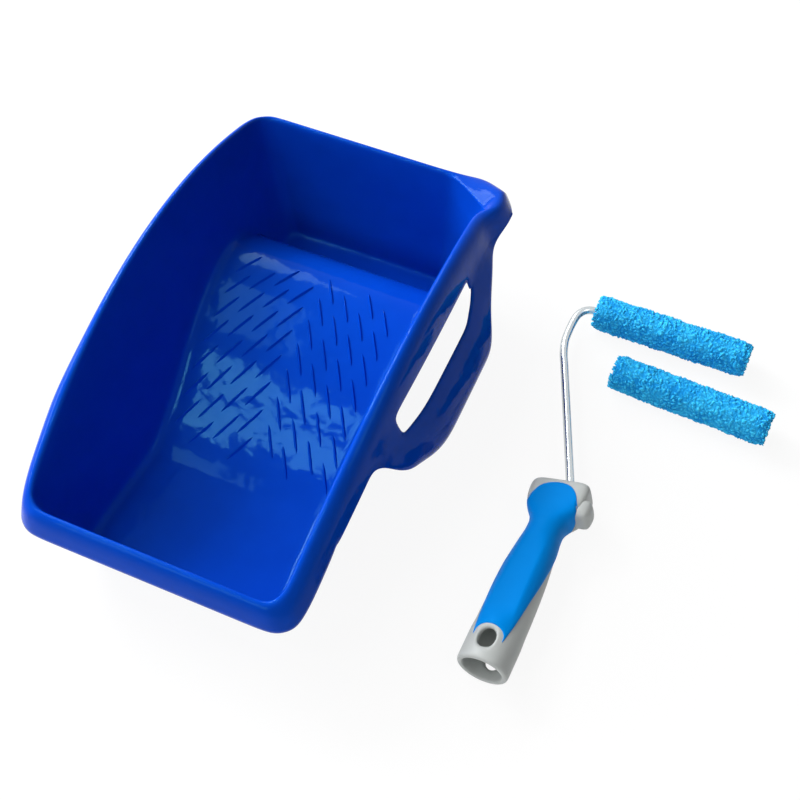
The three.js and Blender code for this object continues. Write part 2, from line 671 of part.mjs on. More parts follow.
const makeHandleCore = () => {
  const whole = union([loftHandle(0), makeHead(0)]);
  const inner = union([loftHandle(OVERMOULD + SEAM), makeHead(OVERMOULD + SEAM)]);
  const socket = new THREE.CylinderGeometry(SOCKET_RADIUS, SOCKET_RADIUS - 2.4, SOCKET_DEPTH, 24);
  socket.rotateX(Math.PI).translate(0, SOCKET_DEPTH / 2 - 0.5, 0);
  const hole = new THREE.CylinderGeometry(HANG_HOLE_RADIUS, HANG_HOLE_RADIUS, 4 * GRIP_RADIUS, 16);
  hole.scale(1, 1, 1.2).rotateX(Math.PI / 2);
  const blank = union([cut(whole, gripReach(SEAM)), inner]);
  const bored = cut(blank, socket, hole.translate(0, HANG_HOLE_AT, 0));
  return cut(placeOnFloor(bored), rodHole());
};

const makeHandleGrip = () => {
  const whole = union([loftHandle(0), makeHead(0)]);
  const inner = union([loftHandle(OVERMOULD), makeHead(OVERMOULD)]);
  return placeOnFloor(cut(common(whole, gripReach(0)), inner));
};

// ---- roller: what turns on the axle ----
const tube = (outer, inner, length, chamfer, segments) => {
  const profile = [
    [inner, 0],
    [outer - chamfer, 0],
    [outer, chamfer],
    [outer, length - chamfer],
    [outer - chamfer, length],
    [inner, length],
    [inner, 0],
  ].map(([x, y]) => new THREE.Vector2(x, y));
  return new THREE.LatheGeometry(profile, segments).rotateZ(-Math.PI / 2);
};

const axleAt = (geometry, along) => geometry.translate(SLEEVE_START.x + along, SLEEVE_START.y, SLEEVE_START.z);

// Ribbed cage that the sleeve is pushed onto.
const makeCage = () => {
  const ribs = 6;
  const reach = SLEEVE_BORE_RADIUS - CAGE_FIT;
  const root = ROD_RADIUS + 1.8;
  const shape = new THREE.Shape();
  for (let r = 0; r < ribs; r += 1) {
    const turn = (2 * Math.PI * r) / ribs;
    [[-0.34, root], [-0.14, reach], [0.14, reach], [0.34, root]].forEach(([lean, radius], n) => {
      const x = radius * Math.cos(turn + lean);
      const y = radius * Math.sin(turn + lean);
      if (r + n === 0) shape.moveTo(x, y);
      else shape.lineTo(x, y);
    });
  }
  const bore = (ROD_RADIUS + RUNNING_GAP) / Math.cos(Math.PI / 24);
  shape.holes.push(new THREE.Path().absarc(0, 0, bore, 0, 2 * Math.PI, true));
  const depth = capStart() - SEAM - CAGE_START;
  const spine = new THREE.ExtrudeGeometry(shape, { depth, bevelEnabled: false, curveSegments: 24 });
  const collar = tube(reach, bore, 3, 0.6, 24);
  spine.rotateY(Math.PI / 2);
  return axleAt(union([spine, collar]), CAGE_START);
};

const makeRetainer = () => axleAt(tube(ROD_RADIUS + 2.4, ROD_RADIUS + SEAM, 1.4, 0.4, 20), capStart() + SEAM);

const makeStopCollar = () => {
  const collar = tube(ROD_RADIUS + 2.2, ROD_RADIUS + SEAM, COLLAR_LENGTH, 0.8, 20);
  return axleAt(collar, CAGE_START - SEAM - COLLAR_LENGTH);
};

// End cap of the cage. Its hollow takes the axle's end and the ring that keeps the cage on it.
const capStart = () => SLEEVE_CORE_LENGTH - CAP_LENGTH + 0.2;
const makeCap = () => {
  const reach = SLEEVE_BORE_RADIUS - CAGE_FIT;
  const hollow = ROD_RADIUS + 2.8;
  const roof = CAP_LENGTH - 3;
  const profile = [
    [0, roof],
    [hollow - 1, roof],
    [hollow, roof - 1],
    [hollow, 0],
    [reach, 0],
    [reach, CAP_LENGTH - 2.6],
    [reach - 2.3, CAP_LENGTH - 0.6],
    [0, CAP_LENGTH],
  ];
  const points = profile.map(([x, y]) => new THREE.Vector2(x, y));
  return axleAt(new THREE.LatheGeometry(points, 24).rotateZ(-Math.PI / 2), capStart());
};

const makeSleeveCore = () => tube(SLEEVE_CORE_RADIUS, SLEEVE_BORE_RADIUS, SLEEVE_CORE_LENGTH, 0.4, 32);

const makePile = () => {
  const overhang = (PILE_LENGTH - SLEEVE_CORE_LENGTH) / 2;
  return tube(PILE_RADIUS, SLEEVE_CORE_RADIUS + SEAM, PILE_LENGTH, 2, 32).translate(-overhang, 0, 0);
};

const spareAt = (geometry) => geometry.rotateZ(SPARE_TURN).translate(SPARE_START.x, SPARE_START.y, SPARE_START.z);

// ---- assembly ----
add('tray', makeTray(), BLUE_PLASTIC);
add('frame_rod', makeRod(), ZINC);
add('handle_core', makeHandleCore(), GREY_PLASTIC);
add('handle_grip', makeHandleGrip(), GRIP_RUBBER);
add('stop_collar', makeStopCollar(), ZINC);
add('retainer', makeRetainer(), ZINC);
add('roller_cage', makeCage(), CAGE_PLASTIC);
add('cage_cap', makeCap(), CAGE_PLASTIC);
add('sleeve_core', axleAt(makeSleeveCore(), 0), CORE_PLASTIC);
add('sleeve_pile', axleAt(makePile(), 0), PILE);
add('spare_core', spareAt(makeSleeveCore()), CORE_PLASTIC);
add('spare_pile', spareAt(makePile()), PILE);

// The origin goes to the middle of the footprint, on the floor.
const bounds = new THREE.Box3().setFromObject(group);
const centre = bounds.getCenter(new THREE.Vector3());
group.children.forEach((mesh) => mesh.geometry.translate(-centre.x, -centre.y, -bounds.min.z));

export default group;
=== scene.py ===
# %% [markdown]
# A hand-held paint tray with its mini roller and a spare sleeve, dressed for a picture.
#
# The tray, the roller and the sleeves already exist as plain solids. This notebook loads them as a
# fixed frame, builds a smooth or furry skin for each one in the same place, gives every skin its
# material, and lights the set on a white floor. Sizes are written in millimetres and turned into
# metres by one helper, because a tray is easier to picture in millimetres.

# %% Load the frame
import json
from math import asin, atan2, cos, hypot, pi, radians, sin, sqrt, tan

import bmesh
import bpy
import numpy as np
from mathutils import Matrix, Vector, geometry, noise

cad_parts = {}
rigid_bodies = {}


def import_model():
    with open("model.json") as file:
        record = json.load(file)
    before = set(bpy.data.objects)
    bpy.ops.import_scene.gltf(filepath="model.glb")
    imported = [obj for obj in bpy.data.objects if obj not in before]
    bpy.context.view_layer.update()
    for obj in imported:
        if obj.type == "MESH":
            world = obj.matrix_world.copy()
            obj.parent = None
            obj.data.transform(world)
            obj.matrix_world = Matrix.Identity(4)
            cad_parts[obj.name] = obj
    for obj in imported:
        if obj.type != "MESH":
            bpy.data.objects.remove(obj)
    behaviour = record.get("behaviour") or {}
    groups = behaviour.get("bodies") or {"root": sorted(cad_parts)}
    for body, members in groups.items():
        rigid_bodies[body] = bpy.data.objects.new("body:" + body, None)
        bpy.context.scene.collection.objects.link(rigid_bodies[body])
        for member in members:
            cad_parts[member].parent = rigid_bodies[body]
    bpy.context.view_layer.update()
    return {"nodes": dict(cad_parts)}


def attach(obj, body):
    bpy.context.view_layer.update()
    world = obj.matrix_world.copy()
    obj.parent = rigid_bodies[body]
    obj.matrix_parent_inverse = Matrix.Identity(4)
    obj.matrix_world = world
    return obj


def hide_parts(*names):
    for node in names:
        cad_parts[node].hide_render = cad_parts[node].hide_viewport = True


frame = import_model()

# %% [markdown]
# The tray's own drawing has its zero at the middle of the near rim, on the floor. The frame's zero is
# at the middle of the whole set, so one small helper moves a tray point into the frame. The other
# helpers blend numbers: a plateau rises, stays up and falls again, and a table is read as a curve.

# %% Tray coordinates and blends
TRAY_ZERO = Vector((-109.83, -168.3, 0.0))


def at(x, y, z):
    return (Vector((x, y, z)) + TRAY_ZERO) * 0.001


def clamp(value, low=0.0, high=1.0):
    return max(low, min(high, value))


def mix(a, b, share):
    return a + (b - a) * share


def smoothstep(value, low, high):
    t = clamp((value - low) / (high - low))
    return t * t * (3 - 2 * t)


def plateau(value, rise_from, rise_to, fall_from, fall_to):
    return smoothstep(value, rise_from, rise_to) * (1 - smoothstep(value, fall_from, fall_to))


def read_off(table, value, column=1):
    """Reads rows of numbers as a curve of straight pieces; the first number of a row is the place."""
    return float(np.interp(value, [row[0] for row in table], [row[column] for row in table]))


print("near rim middle sits at", tuple(round(c, 4) for c in at(0, 0, 0)))

# %% [markdown]
# The camera stands where the photographer stood: high, in front and a little to the right. Its place
# and lens were found by matching the tray's rim, floor and rib pattern.

# %% Camera
TURN, TILT, LENS = radians(23.48), radians(55.72), 56.987
camera_data = bpy.data.cameras.new("camera")
camera_data.lens = LENS
camera_data.sensor_width = 36
camera_data.clip_end = 20
camera = bpy.data.objects.new("camera", camera_data)
camera.location = at(284.64, -268.53, 764.5)
camera.rotation_euler = (pi / 2 - TILT, 0, TURN)
bpy.context.collection.objects.link(camera)
bpy.context.scene.camera = camera
bpy.context.scene.view_settings.view_transform = "Standard"
print("camera height", round(camera.location.z, 3), "m")

# %% [markdown]
# A studio with a white table. One large softbox stands behind on the left and lights most of the tray;
# its reflection is the pale patch on the crest. Three small panels above the near side draw the crisp
# pale patches on the ramp. The table and the world are shown to the camera, and to anything shiny, as
# white, while the table still takes the soft shadows.

# %% What the camera and shiny pieces see
def seen_share(tree, amount):
    """A value that is `amount` for camera, glossy and transmission rays and 0 for all others."""
    path = tree.nodes.new("ShaderNodeLightPath")
    so_far = path.outputs["Is Camera Ray"]
    for label in ("Is Glossy Ray", "Is Transmission Ray"):
        either = tree.nodes.new("ShaderNodeMath")
        either.operation = "MAXIMUM"
        tree.links.new(so_far, either.inputs[0])
        tree.links.new(path.outputs[label], either.inputs[1])
        so_far = either.outputs[0]
    share = tree.nodes.new("ShaderNodeMath")
    share.operation = "MULTIPLY"
    share.inputs[1].default_value = amount
    tree.links.new(so_far, share.inputs[0])
    return share.outputs[0]


print("rays that see white: camera, glossy, transmission")

# %% World
AMBIENT, TABLE_GLOW = 0.03, 0.92
world = bpy.data.worlds.new("studio")
world.use_nodes = True
dim = world.node_tree.nodes["Background"]
dim.inputs["Color"].default_value = (1, 1, 1, 1)
dim.inputs["Strength"].default_value = AMBIENT
white = world.node_tree.nodes.new("ShaderNodeBackground")
white.inputs["Color"].default_value = (1, 1, 1, 1)
white.inputs["Strength"].default_value = 1
both = world.node_tree.nodes.new("ShaderNodeMixShader")
world.node_tree.links.new(seen_share(world.node_tree, 1), both.inputs["Fac"])
world.node_tree.links.new(dim.outputs[0], both.inputs[1])
world.node_tree.links.new(white.outputs[0], both.inputs[2])
world.node_tree.links.new(both.outputs[0], world.node_tree.nodes["World Output"].inputs["Surface"])
bpy.context.scene.world = world
print("ambient light", AMBIENT)

# %% [markdown]
# The softboxes stand on a sphere round the tray, and the three panels hang level above its near side.

# %% Lamps


def lamp(name, place, aim, width, height, power):
    data = bpy.data.lights.new(name, "AREA")
    data.shape = "RECTANGLE"
    data.size, data.size_y = width, height
    data.energy = power
    obj = bpy.data.objects.new(name, data)
    obj.location = place
    obj.rotation_euler = (Vector(aim) - Vector(place)).to_track_quat("-Z", "Y").to_euler()
    bpy.context.collection.objects.link(obj)
    return obj


TRAY_MIDDLE = (-0.11, 0, 0.05)


def round_tray(azimuth, elevation, reach=1.75):
    """A place on a sphere round the tray, with azimuth 0 to the right and 90 to the back."""
    a, e = radians(azimuth), radians(elevation)
    x, y, z = TRAY_MIDDLE
    return x + reach * cos(a) * cos(e), y + reach * sin(a) * cos(e), z + reach * sin(e)


lamps = [
    lamp("key_back_left", round_tray(158, 36), TRAY_MIDDLE, 0.7, 0.7, 41),
    lamp("key_back", round_tray(127, 38), TRAY_MIDDLE, 0.55, 0.75, 10),
    lamp("key_left", round_tray(180, 58), TRAY_MIDDLE, 0.8, 0.8, 10),
    lamp("edge_left", round_tray(190, 17), TRAY_MIDDLE, 0.9, 0.4, 12),
    lamp("fill_front", round_tray(258, 32), TRAY_MIDDLE, 0.9, 0.6, 9),
    lamp("fill_right", round_tray(0, 55), TRAY_MIDDLE, 0.7, 0.7, 4),
]
PANEL_GLOW, PANEL_HEIGHT = 56, 1200
for name, (left, right), (near, far) in (
    ("panel_wide", (-585, -255), (-478, -372)),
    ("panel_left", (-585, -450), (-372, -300)),
    ("panel_right", (-390, -255), (-372, -333)),
):
    place = at((left + right) / 2, (near + far) / 2, PANEL_HEIGHT)
    wide, deep = (right - left) / 1000, (far - near) / 1000
    lamps.append(lamp(name, place, place - Vector((0, 0, 1)), wide, deep, PANEL_GLOW * wide * deep))
print("lamps:", [one.name for one in lamps])

# %% [markdown]
# The table is one flat sheet. It takes the soft shadows with a matt paint, and glows white by itself
# where the camera or a shiny piece looks at it.

# %% Table
TABLE_HALF, TABLE_DROP = 6, 0.0004
table_mesh = bpy.data.meshes.new("table")
bm = bmesh.new()
bmesh.ops.create_grid(bm, x_segments=1, y_segments=1, size=TABLE_HALF)
bm.to_mesh(table_mesh)
bm.free()
table = bpy.data.objects.new("table", table_mesh)
table.location.z = -TABLE_DROP
bpy.context.collection.objects.link(table)

table_look = bpy.data.materials.new("white_table")
table_look.use_nodes = True
nodes, links = table_look.node_tree.nodes, table_look.node_tree.links
nodes.clear()
matt = nodes.new("ShaderNodeBsdfDiffuse")
matt.inputs["Color"].default_value = (0.92, 0.92, 0.92, 1)
glow = nodes.new("ShaderNodeEmission")
blend = nodes.new("ShaderNodeMixShader")
out = nodes.new("ShaderNodeOutputMaterial")
links.new(seen_share(table_look.node_tree, TABLE_GLOW), blend.inputs["Fac"])
links.new(matt.outputs[0], blend.inputs[1])
links.new(glow.outputs[0], blend.inputs[2])
links.new(blend.outputs[0], out.inputs["Surface"])
table_mesh.materials.append(table_look)
print("table set")

# %% [markdown]
# The moulded and plated finishes share one effect, a node group with named inputs. Its height is the
# slow waviness and fine orange peel of a moulding, and its mottle makes colour and gloss a little uneven.

# %% Shared effect


def effect_group(name, inputs, outputs):
    group = bpy.data.node_groups.new(name, "ShaderNodeTree")
    for label, value in inputs:
        socket = group.interface.new_socket(label, in_out="INPUT", socket_type="NodeSocketFloat")
        socket.default_value = value
    for label in outputs:
        group.interface.new_socket(label, in_out="OUTPUT", socket_type="NodeSocketFloat")
    return group, group.nodes.new("NodeGroupInput"), group.nodes.new("NodeGroupOutput")


def group_node(tree, kind, **settings):
    node = tree.nodes.new(kind)
    for key, value in settings.items():
        setattr(node, key, value)
    return node


def make_moulding():
    group, given, result = effect_group(
        "moulding",
        [("Wave Scale", 20.0), ("Wave Height", 0.2), ("Peel Scale", 900.0), ("Peel Height", 0.01)],
        ["Height", "Mottle"],
    )
    where = group_node(group, "ShaderNodeTexCoord")
    wave = group_node(group, "ShaderNodeTexNoise")
    wave.inputs["Detail"].default_value = 2
    peel = group_node(group, "ShaderNodeTexNoise")
    peel.inputs["Detail"].default_value = 3
    tall = group_node(group, "ShaderNodeMath", operation="MULTIPLY")
    fine = group_node(group, "ShaderNodeMath", operation="MULTIPLY")
    total = group_node(group, "ShaderNodeMath", operation="ADD")
    for texture, size in ((wave, "Wave Scale"), (peel, "Peel Scale")):
        group.links.new(where.outputs["Object"], texture.inputs["Vector"])
        group.links.new(given.outputs[size], texture.inputs["Scale"])
    group.links.new(wave.outputs["Fac"], tall.inputs[0])
    group.links.new(given.outputs["Wave Height"], tall.inputs[1])
    group.links.new(peel.outputs["Fac"], fine.inputs[0])
    group.links.new(given.outputs["Peel Height"], fine.inputs[1])
    group.links.new(tall.outputs[0], total.inputs[0])
    group.links.new(fine.outputs[0], total.inputs[1])
    group.links.new(total.outputs[0], result.inputs["Height"])
    group.links.new(wave.outputs["Fac"], result.inputs["Mottle"])
    return group


MOULDING = make_moulding()
print("effect group:", MOULDING.name)

# %% [markdown]
# Each finish has a dark and a pale shade, a range of roughness and the heights of its relief. The tray
# is glossy blue plastic, the grip satin rubber, the handle's body fine grey plastic, the rod bright zinc.

# %% Finishes


def finish_material(name, dark, pale, rough, bump, **extra):
    """A Principled finish whose colour, roughness and bump come from the moulding effect."""
    look = bpy.data.materials.new(name)
    look.use_nodes = True
    tree = look.node_tree
    surface = tree.nodes["Principled BSDF"]
    mould = group_node(tree, "ShaderNodeGroup", node_tree=MOULDING)
    for label, value in bump.items():
        mould.inputs[label].default_value = value
    colour = group_node(tree, "ShaderNodeMix", data_type="RGBA")
    colour.inputs["A"].default_value = (*dark, 1)
    colour.inputs["B"].default_value = (*pale, 1)
    gloss = group_node(tree, "ShaderNodeMapRange")
    gloss.inputs["To Min"].default_value, gloss.inputs["To Max"].default_value = rough
    relief = group_node(tree, "ShaderNodeBump")
    relief.inputs["Distance"].default_value = 0.001
    tree.links.new(mould.outputs["Mottle"], colour.inputs["Factor"])
    tree.links.new(mould.outputs["Mottle"], gloss.inputs["Value"])
    tree.links.new(mould.outputs["Height"], relief.inputs["Height"])
    tree.links.new(colour.outputs["Result"], surface.inputs["Base Color"])
    tree.links.new(gloss.outputs["Result"], surface.inputs["Roughness"])
    tree.links.new(relief.outputs["Normal"], surface.inputs["Normal"])
    for label, value in extra.items():
        surface.inputs[label.replace("_", " ")].default_value = value
    return look


TRAY_BLUE = finish_material(
    "glossy_blue_plastic", (0.0006, 0.042, 0.40), (0.0010, 0.050, 0.45), (0.05, 0.09),
    {"Wave Scale": 60, "Wave Height": 0.45, "Peel Scale": 700, "Peel Height": 0.003},
    IOR=1.5, Specular_IOR_Level=0.08, Specular_Tint=(0.18, 0.85, 1.0, 1),
)
GRIP_BLUE = finish_material(
    "satin_blue_rubber", (0.0, 0.215, 0.70), (0.0, 0.255, 0.78), (0.45, 0.55),
    {"Wave Scale": 30, "Wave Height": 0.15, "Peel Scale": 2200, "Peel Height": 0.04},
    Specular_IOR_Level=0.12, Specular_Tint=(0.1, 0.75, 1.0, 1),
)
GREY = finish_material(
    "grey_moulded_plastic", (0.44, 0.465, 0.455), (0.49, 0.515, 0.505), (0.45, 0.55),
    {"Wave Scale": 30, "Wave Height": 0.1, "Peel Scale": 1800, "Peel Height": 0.04},
)
ZINC = finish_material(
    "bright_zinc", (0.50, 0.54, 0.56), (0.62, 0.66, 0.68), (0.2, 0.3),
    {"Wave Scale": 60, "Wave Height": 0.2, "Peel Scale": 1500, "Peel Height": 0.03},
    Metallic=1.0,
)
DARK_PLASTIC = finish_material(
    "dark_cage_plastic", (0.02, 0.022, 0.026), (0.035, 0.038, 0.045), (0.35, 0.5),
    {"Wave Scale": 60, "Wave Height": 0.1, "Peel Scale": 2000, "Peel Height": 0.04},
)
CORE_PLASTIC = finish_material(
    "pale_tube_plastic", (0.20, 0.46, 0.66), (0.28, 0.55, 0.74), (0.5, 0.6),
    {"Wave Scale": 60, "Wave Height": 0.1, "Peel Scale": 2500, "Peel Height": 0.06},
)
print("finishes:", [m.name for m in bpy.data.materials])

# %% [markdown]
# Every new piece goes through the same last steps: normals pointing outwards, smooth shading, its
# finish, and the body it rides on.

# %% Helper that finishes a piece


def to_piece(bm, name, look, body, replaced=(), outward=True):
    if outward:
        bmesh.ops.recalc_face_normals(bm, faces=bm.faces)
    for face in bm.faces:
        face.smooth = True
    mesh = bpy.data.meshes.new(name)
    bm.to_mesh(mesh)
    bm.free()
    mesh.materials.append(look)
    piece = bpy.data.objects.new(name, mesh)
    bpy.context.collection.objects.link(piece)
    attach(piece, body)
    if replaced:
        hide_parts(*replaced)
    return piece


def subdivide(piece, levels):
    smooth = piece.modifiers.new("smooth", "SUBSURF")
    smooth.levels = smooth.render_levels = levels


# %% [markdown]
# The tray is one injection moulding with a wall of even thickness, so it is modelled as a sheet.
# The sheet starts as a flat grid, which becomes the two wells and the ramp. Its border is extruded
# again and again: round the floor fillet, up the drafted wall, over the rolled rim and down the skirt.

# %% Curves of the tray
WALL = 2.2
LENGTH = 338
RIM_CORNER, FLOOR_CORNER, FILLET = 12, 11, 4
SIDE_DRAFT, NEAR_DRAFT, FAR_DRAFT = radians(12.9), radians(14), radians(7.2)
RIM_NEAR, RIM_FAR, RIM_ARCH = 69.4, 104.5, 41.7
HALF_NEAR, HALF_FAR, HALF_BOW = 88, 92, 4.5
RAMP_FOOT, FOOT_RISE, FOOT_SLOPE = 104, 1.6, 0.33
RAMP_MIDDLE, MIDDLE_RISE, MIDDLE_SLOPE = 150, 22.7, 0.56
CREST_Y, CREST_RISE, BACK_FOOT = 244, 55, 303


def rim_height(y):
    s = clamp(y / LENGTH)
    return mix(RIM_NEAR, RIM_FAR, s) + RIM_ARCH * 4 * s * (1 - s)


def rim_half(y):
    s = clamp(y / LENGTH)
    return mix(HALF_NEAR, HALF_FAR, s) + HALF_BOW * 4 * s * (1 - s)


FLOOR_NEAR = tan(NEAR_DRAFT) * (rim_height(0) - WALL)
FLOOR_FAR = LENGTH - tan(FAR_DRAFT) * (rim_height(LENGTH) - WALL)


def on_rim(floor_y):
    return (floor_y - FLOOR_NEAR) / (FLOOR_FAR - FLOOR_NEAR) * LENGTH


def on_floor(rim_y):
    return mix(FLOOR_NEAR, FLOOR_FAR, rim_y / LENGTH)


def curve_points(*knots, steps=24):
    a, b, c, d = (Vector((y, z, 0)) for y, z in knots)
    return [(p.x, p.y) for p in geometry.interpolate_bezier(a, b, c, d, steps)]


print("floor runs from", round(FLOOR_NEAR, 1), "to", round(FLOOR_FAR, 1), "mm")

# %% [markdown]
# The floor's long section is a line of curves: flat near well, a short ease at the ramp's foot, an S
# up to the crest, a steep back and the flat far well.

# %% Section of floor and ramp
lower, upper, back = (RAMP_MIDDLE - RAMP_FOOT) / 3, (CREST_Y - RAMP_MIDDLE) / 3, BACK_FOOT - CREST_Y
foot_z, middle_z, top_z = WALL + FOOT_RISE, WALL + MIDDLE_RISE, WALL + CREST_RISE
toe = RAMP_FOOT - 1.6 * FOOT_RISE / FOOT_SLOPE
profile = [(0, WALL), (toe, WALL)]
profile += curve_points(
    (toe, WALL), (toe + 2, WALL), (RAMP_FOOT - 3.2, foot_z - 3.2 * FOOT_SLOPE), (RAMP_FOOT, foot_z), steps=6
)[1:]
profile += curve_points(
    (RAMP_FOOT, foot_z), (RAMP_FOOT + lower, foot_z + lower * FOOT_SLOPE),
    (RAMP_MIDDLE - lower, middle_z - lower * MIDDLE_SLOPE), (RAMP_MIDDLE, middle_z),
)[1:]
profile += curve_points(
    (RAMP_MIDDLE, middle_z), (RAMP_MIDDLE + upper, middle_z + upper * MIDDLE_SLOPE),
    (CREST_Y - upper, top_z), (CREST_Y, top_z),
)[1:]
profile += curve_points(
    (CREST_Y, top_z), (CREST_Y + 0.45 * back, top_z),
    (CREST_Y + 0.72 * back, WALL + 0.72 * CREST_RISE), (BACK_FOOT, WALL),
)[1:]
profile += [(LENGTH, WALL)]


def floor_height(y):
    return read_off(profile, y)


print("crest stands", round(floor_height(CREST_Y), 1), "mm above the table")

# %% [markdown]
# The sheet's rows lie closer where the ramp bends. Two corner shapes are needed: a round one, and the
# spout's, which is cut straight across at the lip and turns round towards the outer edge.

# %% Rows and corners of the sheet
FLOOR_ROWS = [
    FLOOR_NEAR + FILLET + FLOOR_CORNER, 45, 60, 75, 87, 95, 100, 105, 112, 120, 127.5, 135.3, 143, 152, 162,
    172, 182, 192, 202, 212, 221, 229, 236, 241.5, 246.2, 251, 257, 264, 272, 280, 288, 296, 303,
    FLOOR_FAR - FILLET - FLOOR_CORNER,
]
NX, NY = 14, len(FLOOR_ROWS) + 3
SPOUT_ACROSS, SPOUT_ALONG, SPOUT_EASE, SPOUT_ROUND = 29, 21, 4, 28


def round_inset(a, b, radius):
    if a > 0 and b > 0:
        return radius * a / 2, radius * b / 2
    turn = (pi / 4) * (1 - (a + b) / 2)
    along, across = radius * (1 - sin(turn)), radius * (1 - cos(turn))
    return (along, across) if b == 0 else (across, along)


def round_corner(radius):
    return radius, radius, lambda a, b: round_inset(a, b, radius)


def spout_corner(share):
    """A corner that is cut straight across at share 0 and is round at share 1."""
    run = hypot(SPOUT_ACROSS, SPOUT_ALONG)
    ease_x, ease_y = SPOUT_EASE * SPOUT_ACROSS / run, SPOUT_EASE * SPOUT_ALONG / run

    def inset(a, b):
        straight = (SPOUT_ACROSS / 2, SPOUT_ALONG / 2)
        if a == 1:
            straight = (SPOUT_ACROSS - ease_x, ease_y)
        if b == 1:
            straight = (ease_x, SPOUT_ALONG - ease_y)
        curved = round_inset(a, b, SPOUT_ROUND)
        return mix(straight[0], curved[0], share), mix(straight[1], curved[1], share)

    across = mix(SPOUT_ACROSS + SPOUT_EASE, SPOUT_ROUND, share)
    return across, mix(SPOUT_ALONG + SPOUT_EASE, SPOUT_ROUND, share), inset


def ring_place(i, j, half, near, far, corner, row_y):
    """Plan position of one border point of a rectangle whose corners are rounded or cut."""
    a, b = min(i, NX - i), min(j, NY - j)
    right, beyond = i > NX / 2, j > NY / 2
    across, along, inset = corner(right, beyond)
    dx, dy = inset(a, b) if a < 2 and b < 2 else (across * a / 2, along * b / 2)
    row = min(max(j - 2, 0), len(FLOOR_ROWS) - 1)
    if b < 2:
        y = far - dy if beyond else near + dy
    else:
        y = row_y(row, along)
    wide = half(y)
    if a < 2:
        return (wide - dx) * (1 if right else -1), y, row
    return (wide - across) * ((2 * (i - 2)) / (NX - 4) - 1), y, row


def floor_place(i, j, inset, lift):
    def half(y):
        rim_y = on_rim(y)
        return rim_half(rim_y) - tan(SIDE_DRAFT) * (rim_height(rim_y) - floor_height(y) - lift) - inset

    x, y, row = ring_place(
        i, j, half, FLOOR_NEAR + inset, FLOOR_FAR - inset,
        lambda right, far: round_corner(FLOOR_CORNER), lambda row, along: FLOOR_ROWS[row],
    )
    return Vector((x, y, floor_height(FLOOR_ROWS[row]) + lift))


print("sheet grid", NX, "by", NY)

# %% [markdown]
# The rim rolls outwards and down. It is narrower on the left than on the right, and the spout is
# pulled out of its corner: each entry of the pull names a point by its columns from the right-hand
# side and its rows from the far end, and moves it at the lip and at the outer edge.

# %% Rim
SIDE_OUT, SIDE_DROP, NEAR_OUT, NEAR_DROP, FAR_OUT, CORNER_GROWTH = 15, 18, 11, 19, 7.8, 7.7
LEFT_OUT = [(0, 12), (30, 13), (65, 14.6), (100, 12), (140, 10.8), (200, 10.2), (300, 9.6), (LENGTH, 9.6)]
HANDLE_TOP, BRACKET_NEAR, BRACKET_FAR = 105.4, 92, 303
SPOUT_PULL = {
    (0, 0): ((2.8, -2.6, 0), (-3.5, 7, 6)),
    (0, 1): ((7.5, -8.4, 1), (1, 10, 7)),
    (0, 2): ((4, -7, 0), (7, 8, 8)),
    (0, 3): ((1.2, -2.5, 0), (5.5, 3, 4)),
    (0, 4): ((0, -0.5, 0), (3, 1, 1)),
    (1, 0): ((-1, 1, 0), (-1, 3.5, 2)),
    (2, 0): ((0, 0, 0), (0, 1, 0.5)),
}
NO_PULL = ((0, 0, 0), (0, 0, 0))


def rim_place(i, j, out, drop, spout):
    far = LENGTH + FAR_OUT * out ** 0.75

    def row_y(row, along):
        y, last = on_rim(FLOOR_ROWS[row]), on_rim(FLOOR_ROWS[-1])
        room = min(last, far - along - 2)
        return y if y < CREST_Y else mix(CREST_Y, room, (y - CREST_Y) / (last - CREST_Y))

    def corner(right, beyond):
        return spout_corner(spout) if right and beyond else round_corner(RIM_CORNER + out * CORNER_GROWTH)

    def half(y):
        return rim_half(y) + out * (SIDE_OUT if i > NX / 2 else read_off(LEFT_OUT, y))

    x, y, _ = ring_place(i, j, half, -out * NEAR_OUT, far, corner, row_y)
    on_end, on_side = min(j, NY - j) == 0, min(i, NX - i) == 0
    if NX - i + NY - j < 2:
        drop = drop * abs(drop)
    depth = NEAR_DROP if on_end else SIDE_DROP
    fall = drop * (SIDE_DROP + NEAR_DROP) / 2 if on_end and on_side else drop * depth
    height = rim_height(y)
    at_lip, at_edge = SPOUT_PULL.get((NX - i, NY - j), NO_PULL)
    pull = Vector(at_lip).lerp(Vector(at_edge), out)
    if i == NX and BRACKET_NEAR < y < BRACKET_FAR:
        return Vector((x, y, min(height - fall, mix(height, HANDLE_TOP, drop)))) + pull
    return Vector((x, y, height - fall)) + pull


print("rim reaches", SIDE_OUT, "mm out on the right and", LEFT_OUT[0][1], "mm at the near left corner")

# %% [markdown]
# Extruding the border keeps each new point in the same row and column as the point it grew from, so
# the row and column are stored on the points and read back to place every ring.

# %% Floor, walls and rim
sheet = bmesh.new()
bmesh.ops.create_grid(sheet, x_segments=NX, y_segments=NY, size=1)
COLUMN = sheet.verts.layers.int.new("column")
ROW = sheet.verts.layers.int.new("row")
LAYER = sheet.verts.layers.int.new("layer")
for v in sheet.verts:
    v[COLUMN] = round((v.co.x + 1) / 2 * NX)
    v[ROW] = round((v.co.y + 1) / 2 * NY)
    v.co = floor_place(v[COLUMN], v[ROW], FILLET, 0)


def wall_place(share):
    def place(i, j):
        return floor_place(i, j, 0, FILLET).lerp(rim_place(i, j, 0, 0.1, 0), share)

    return place


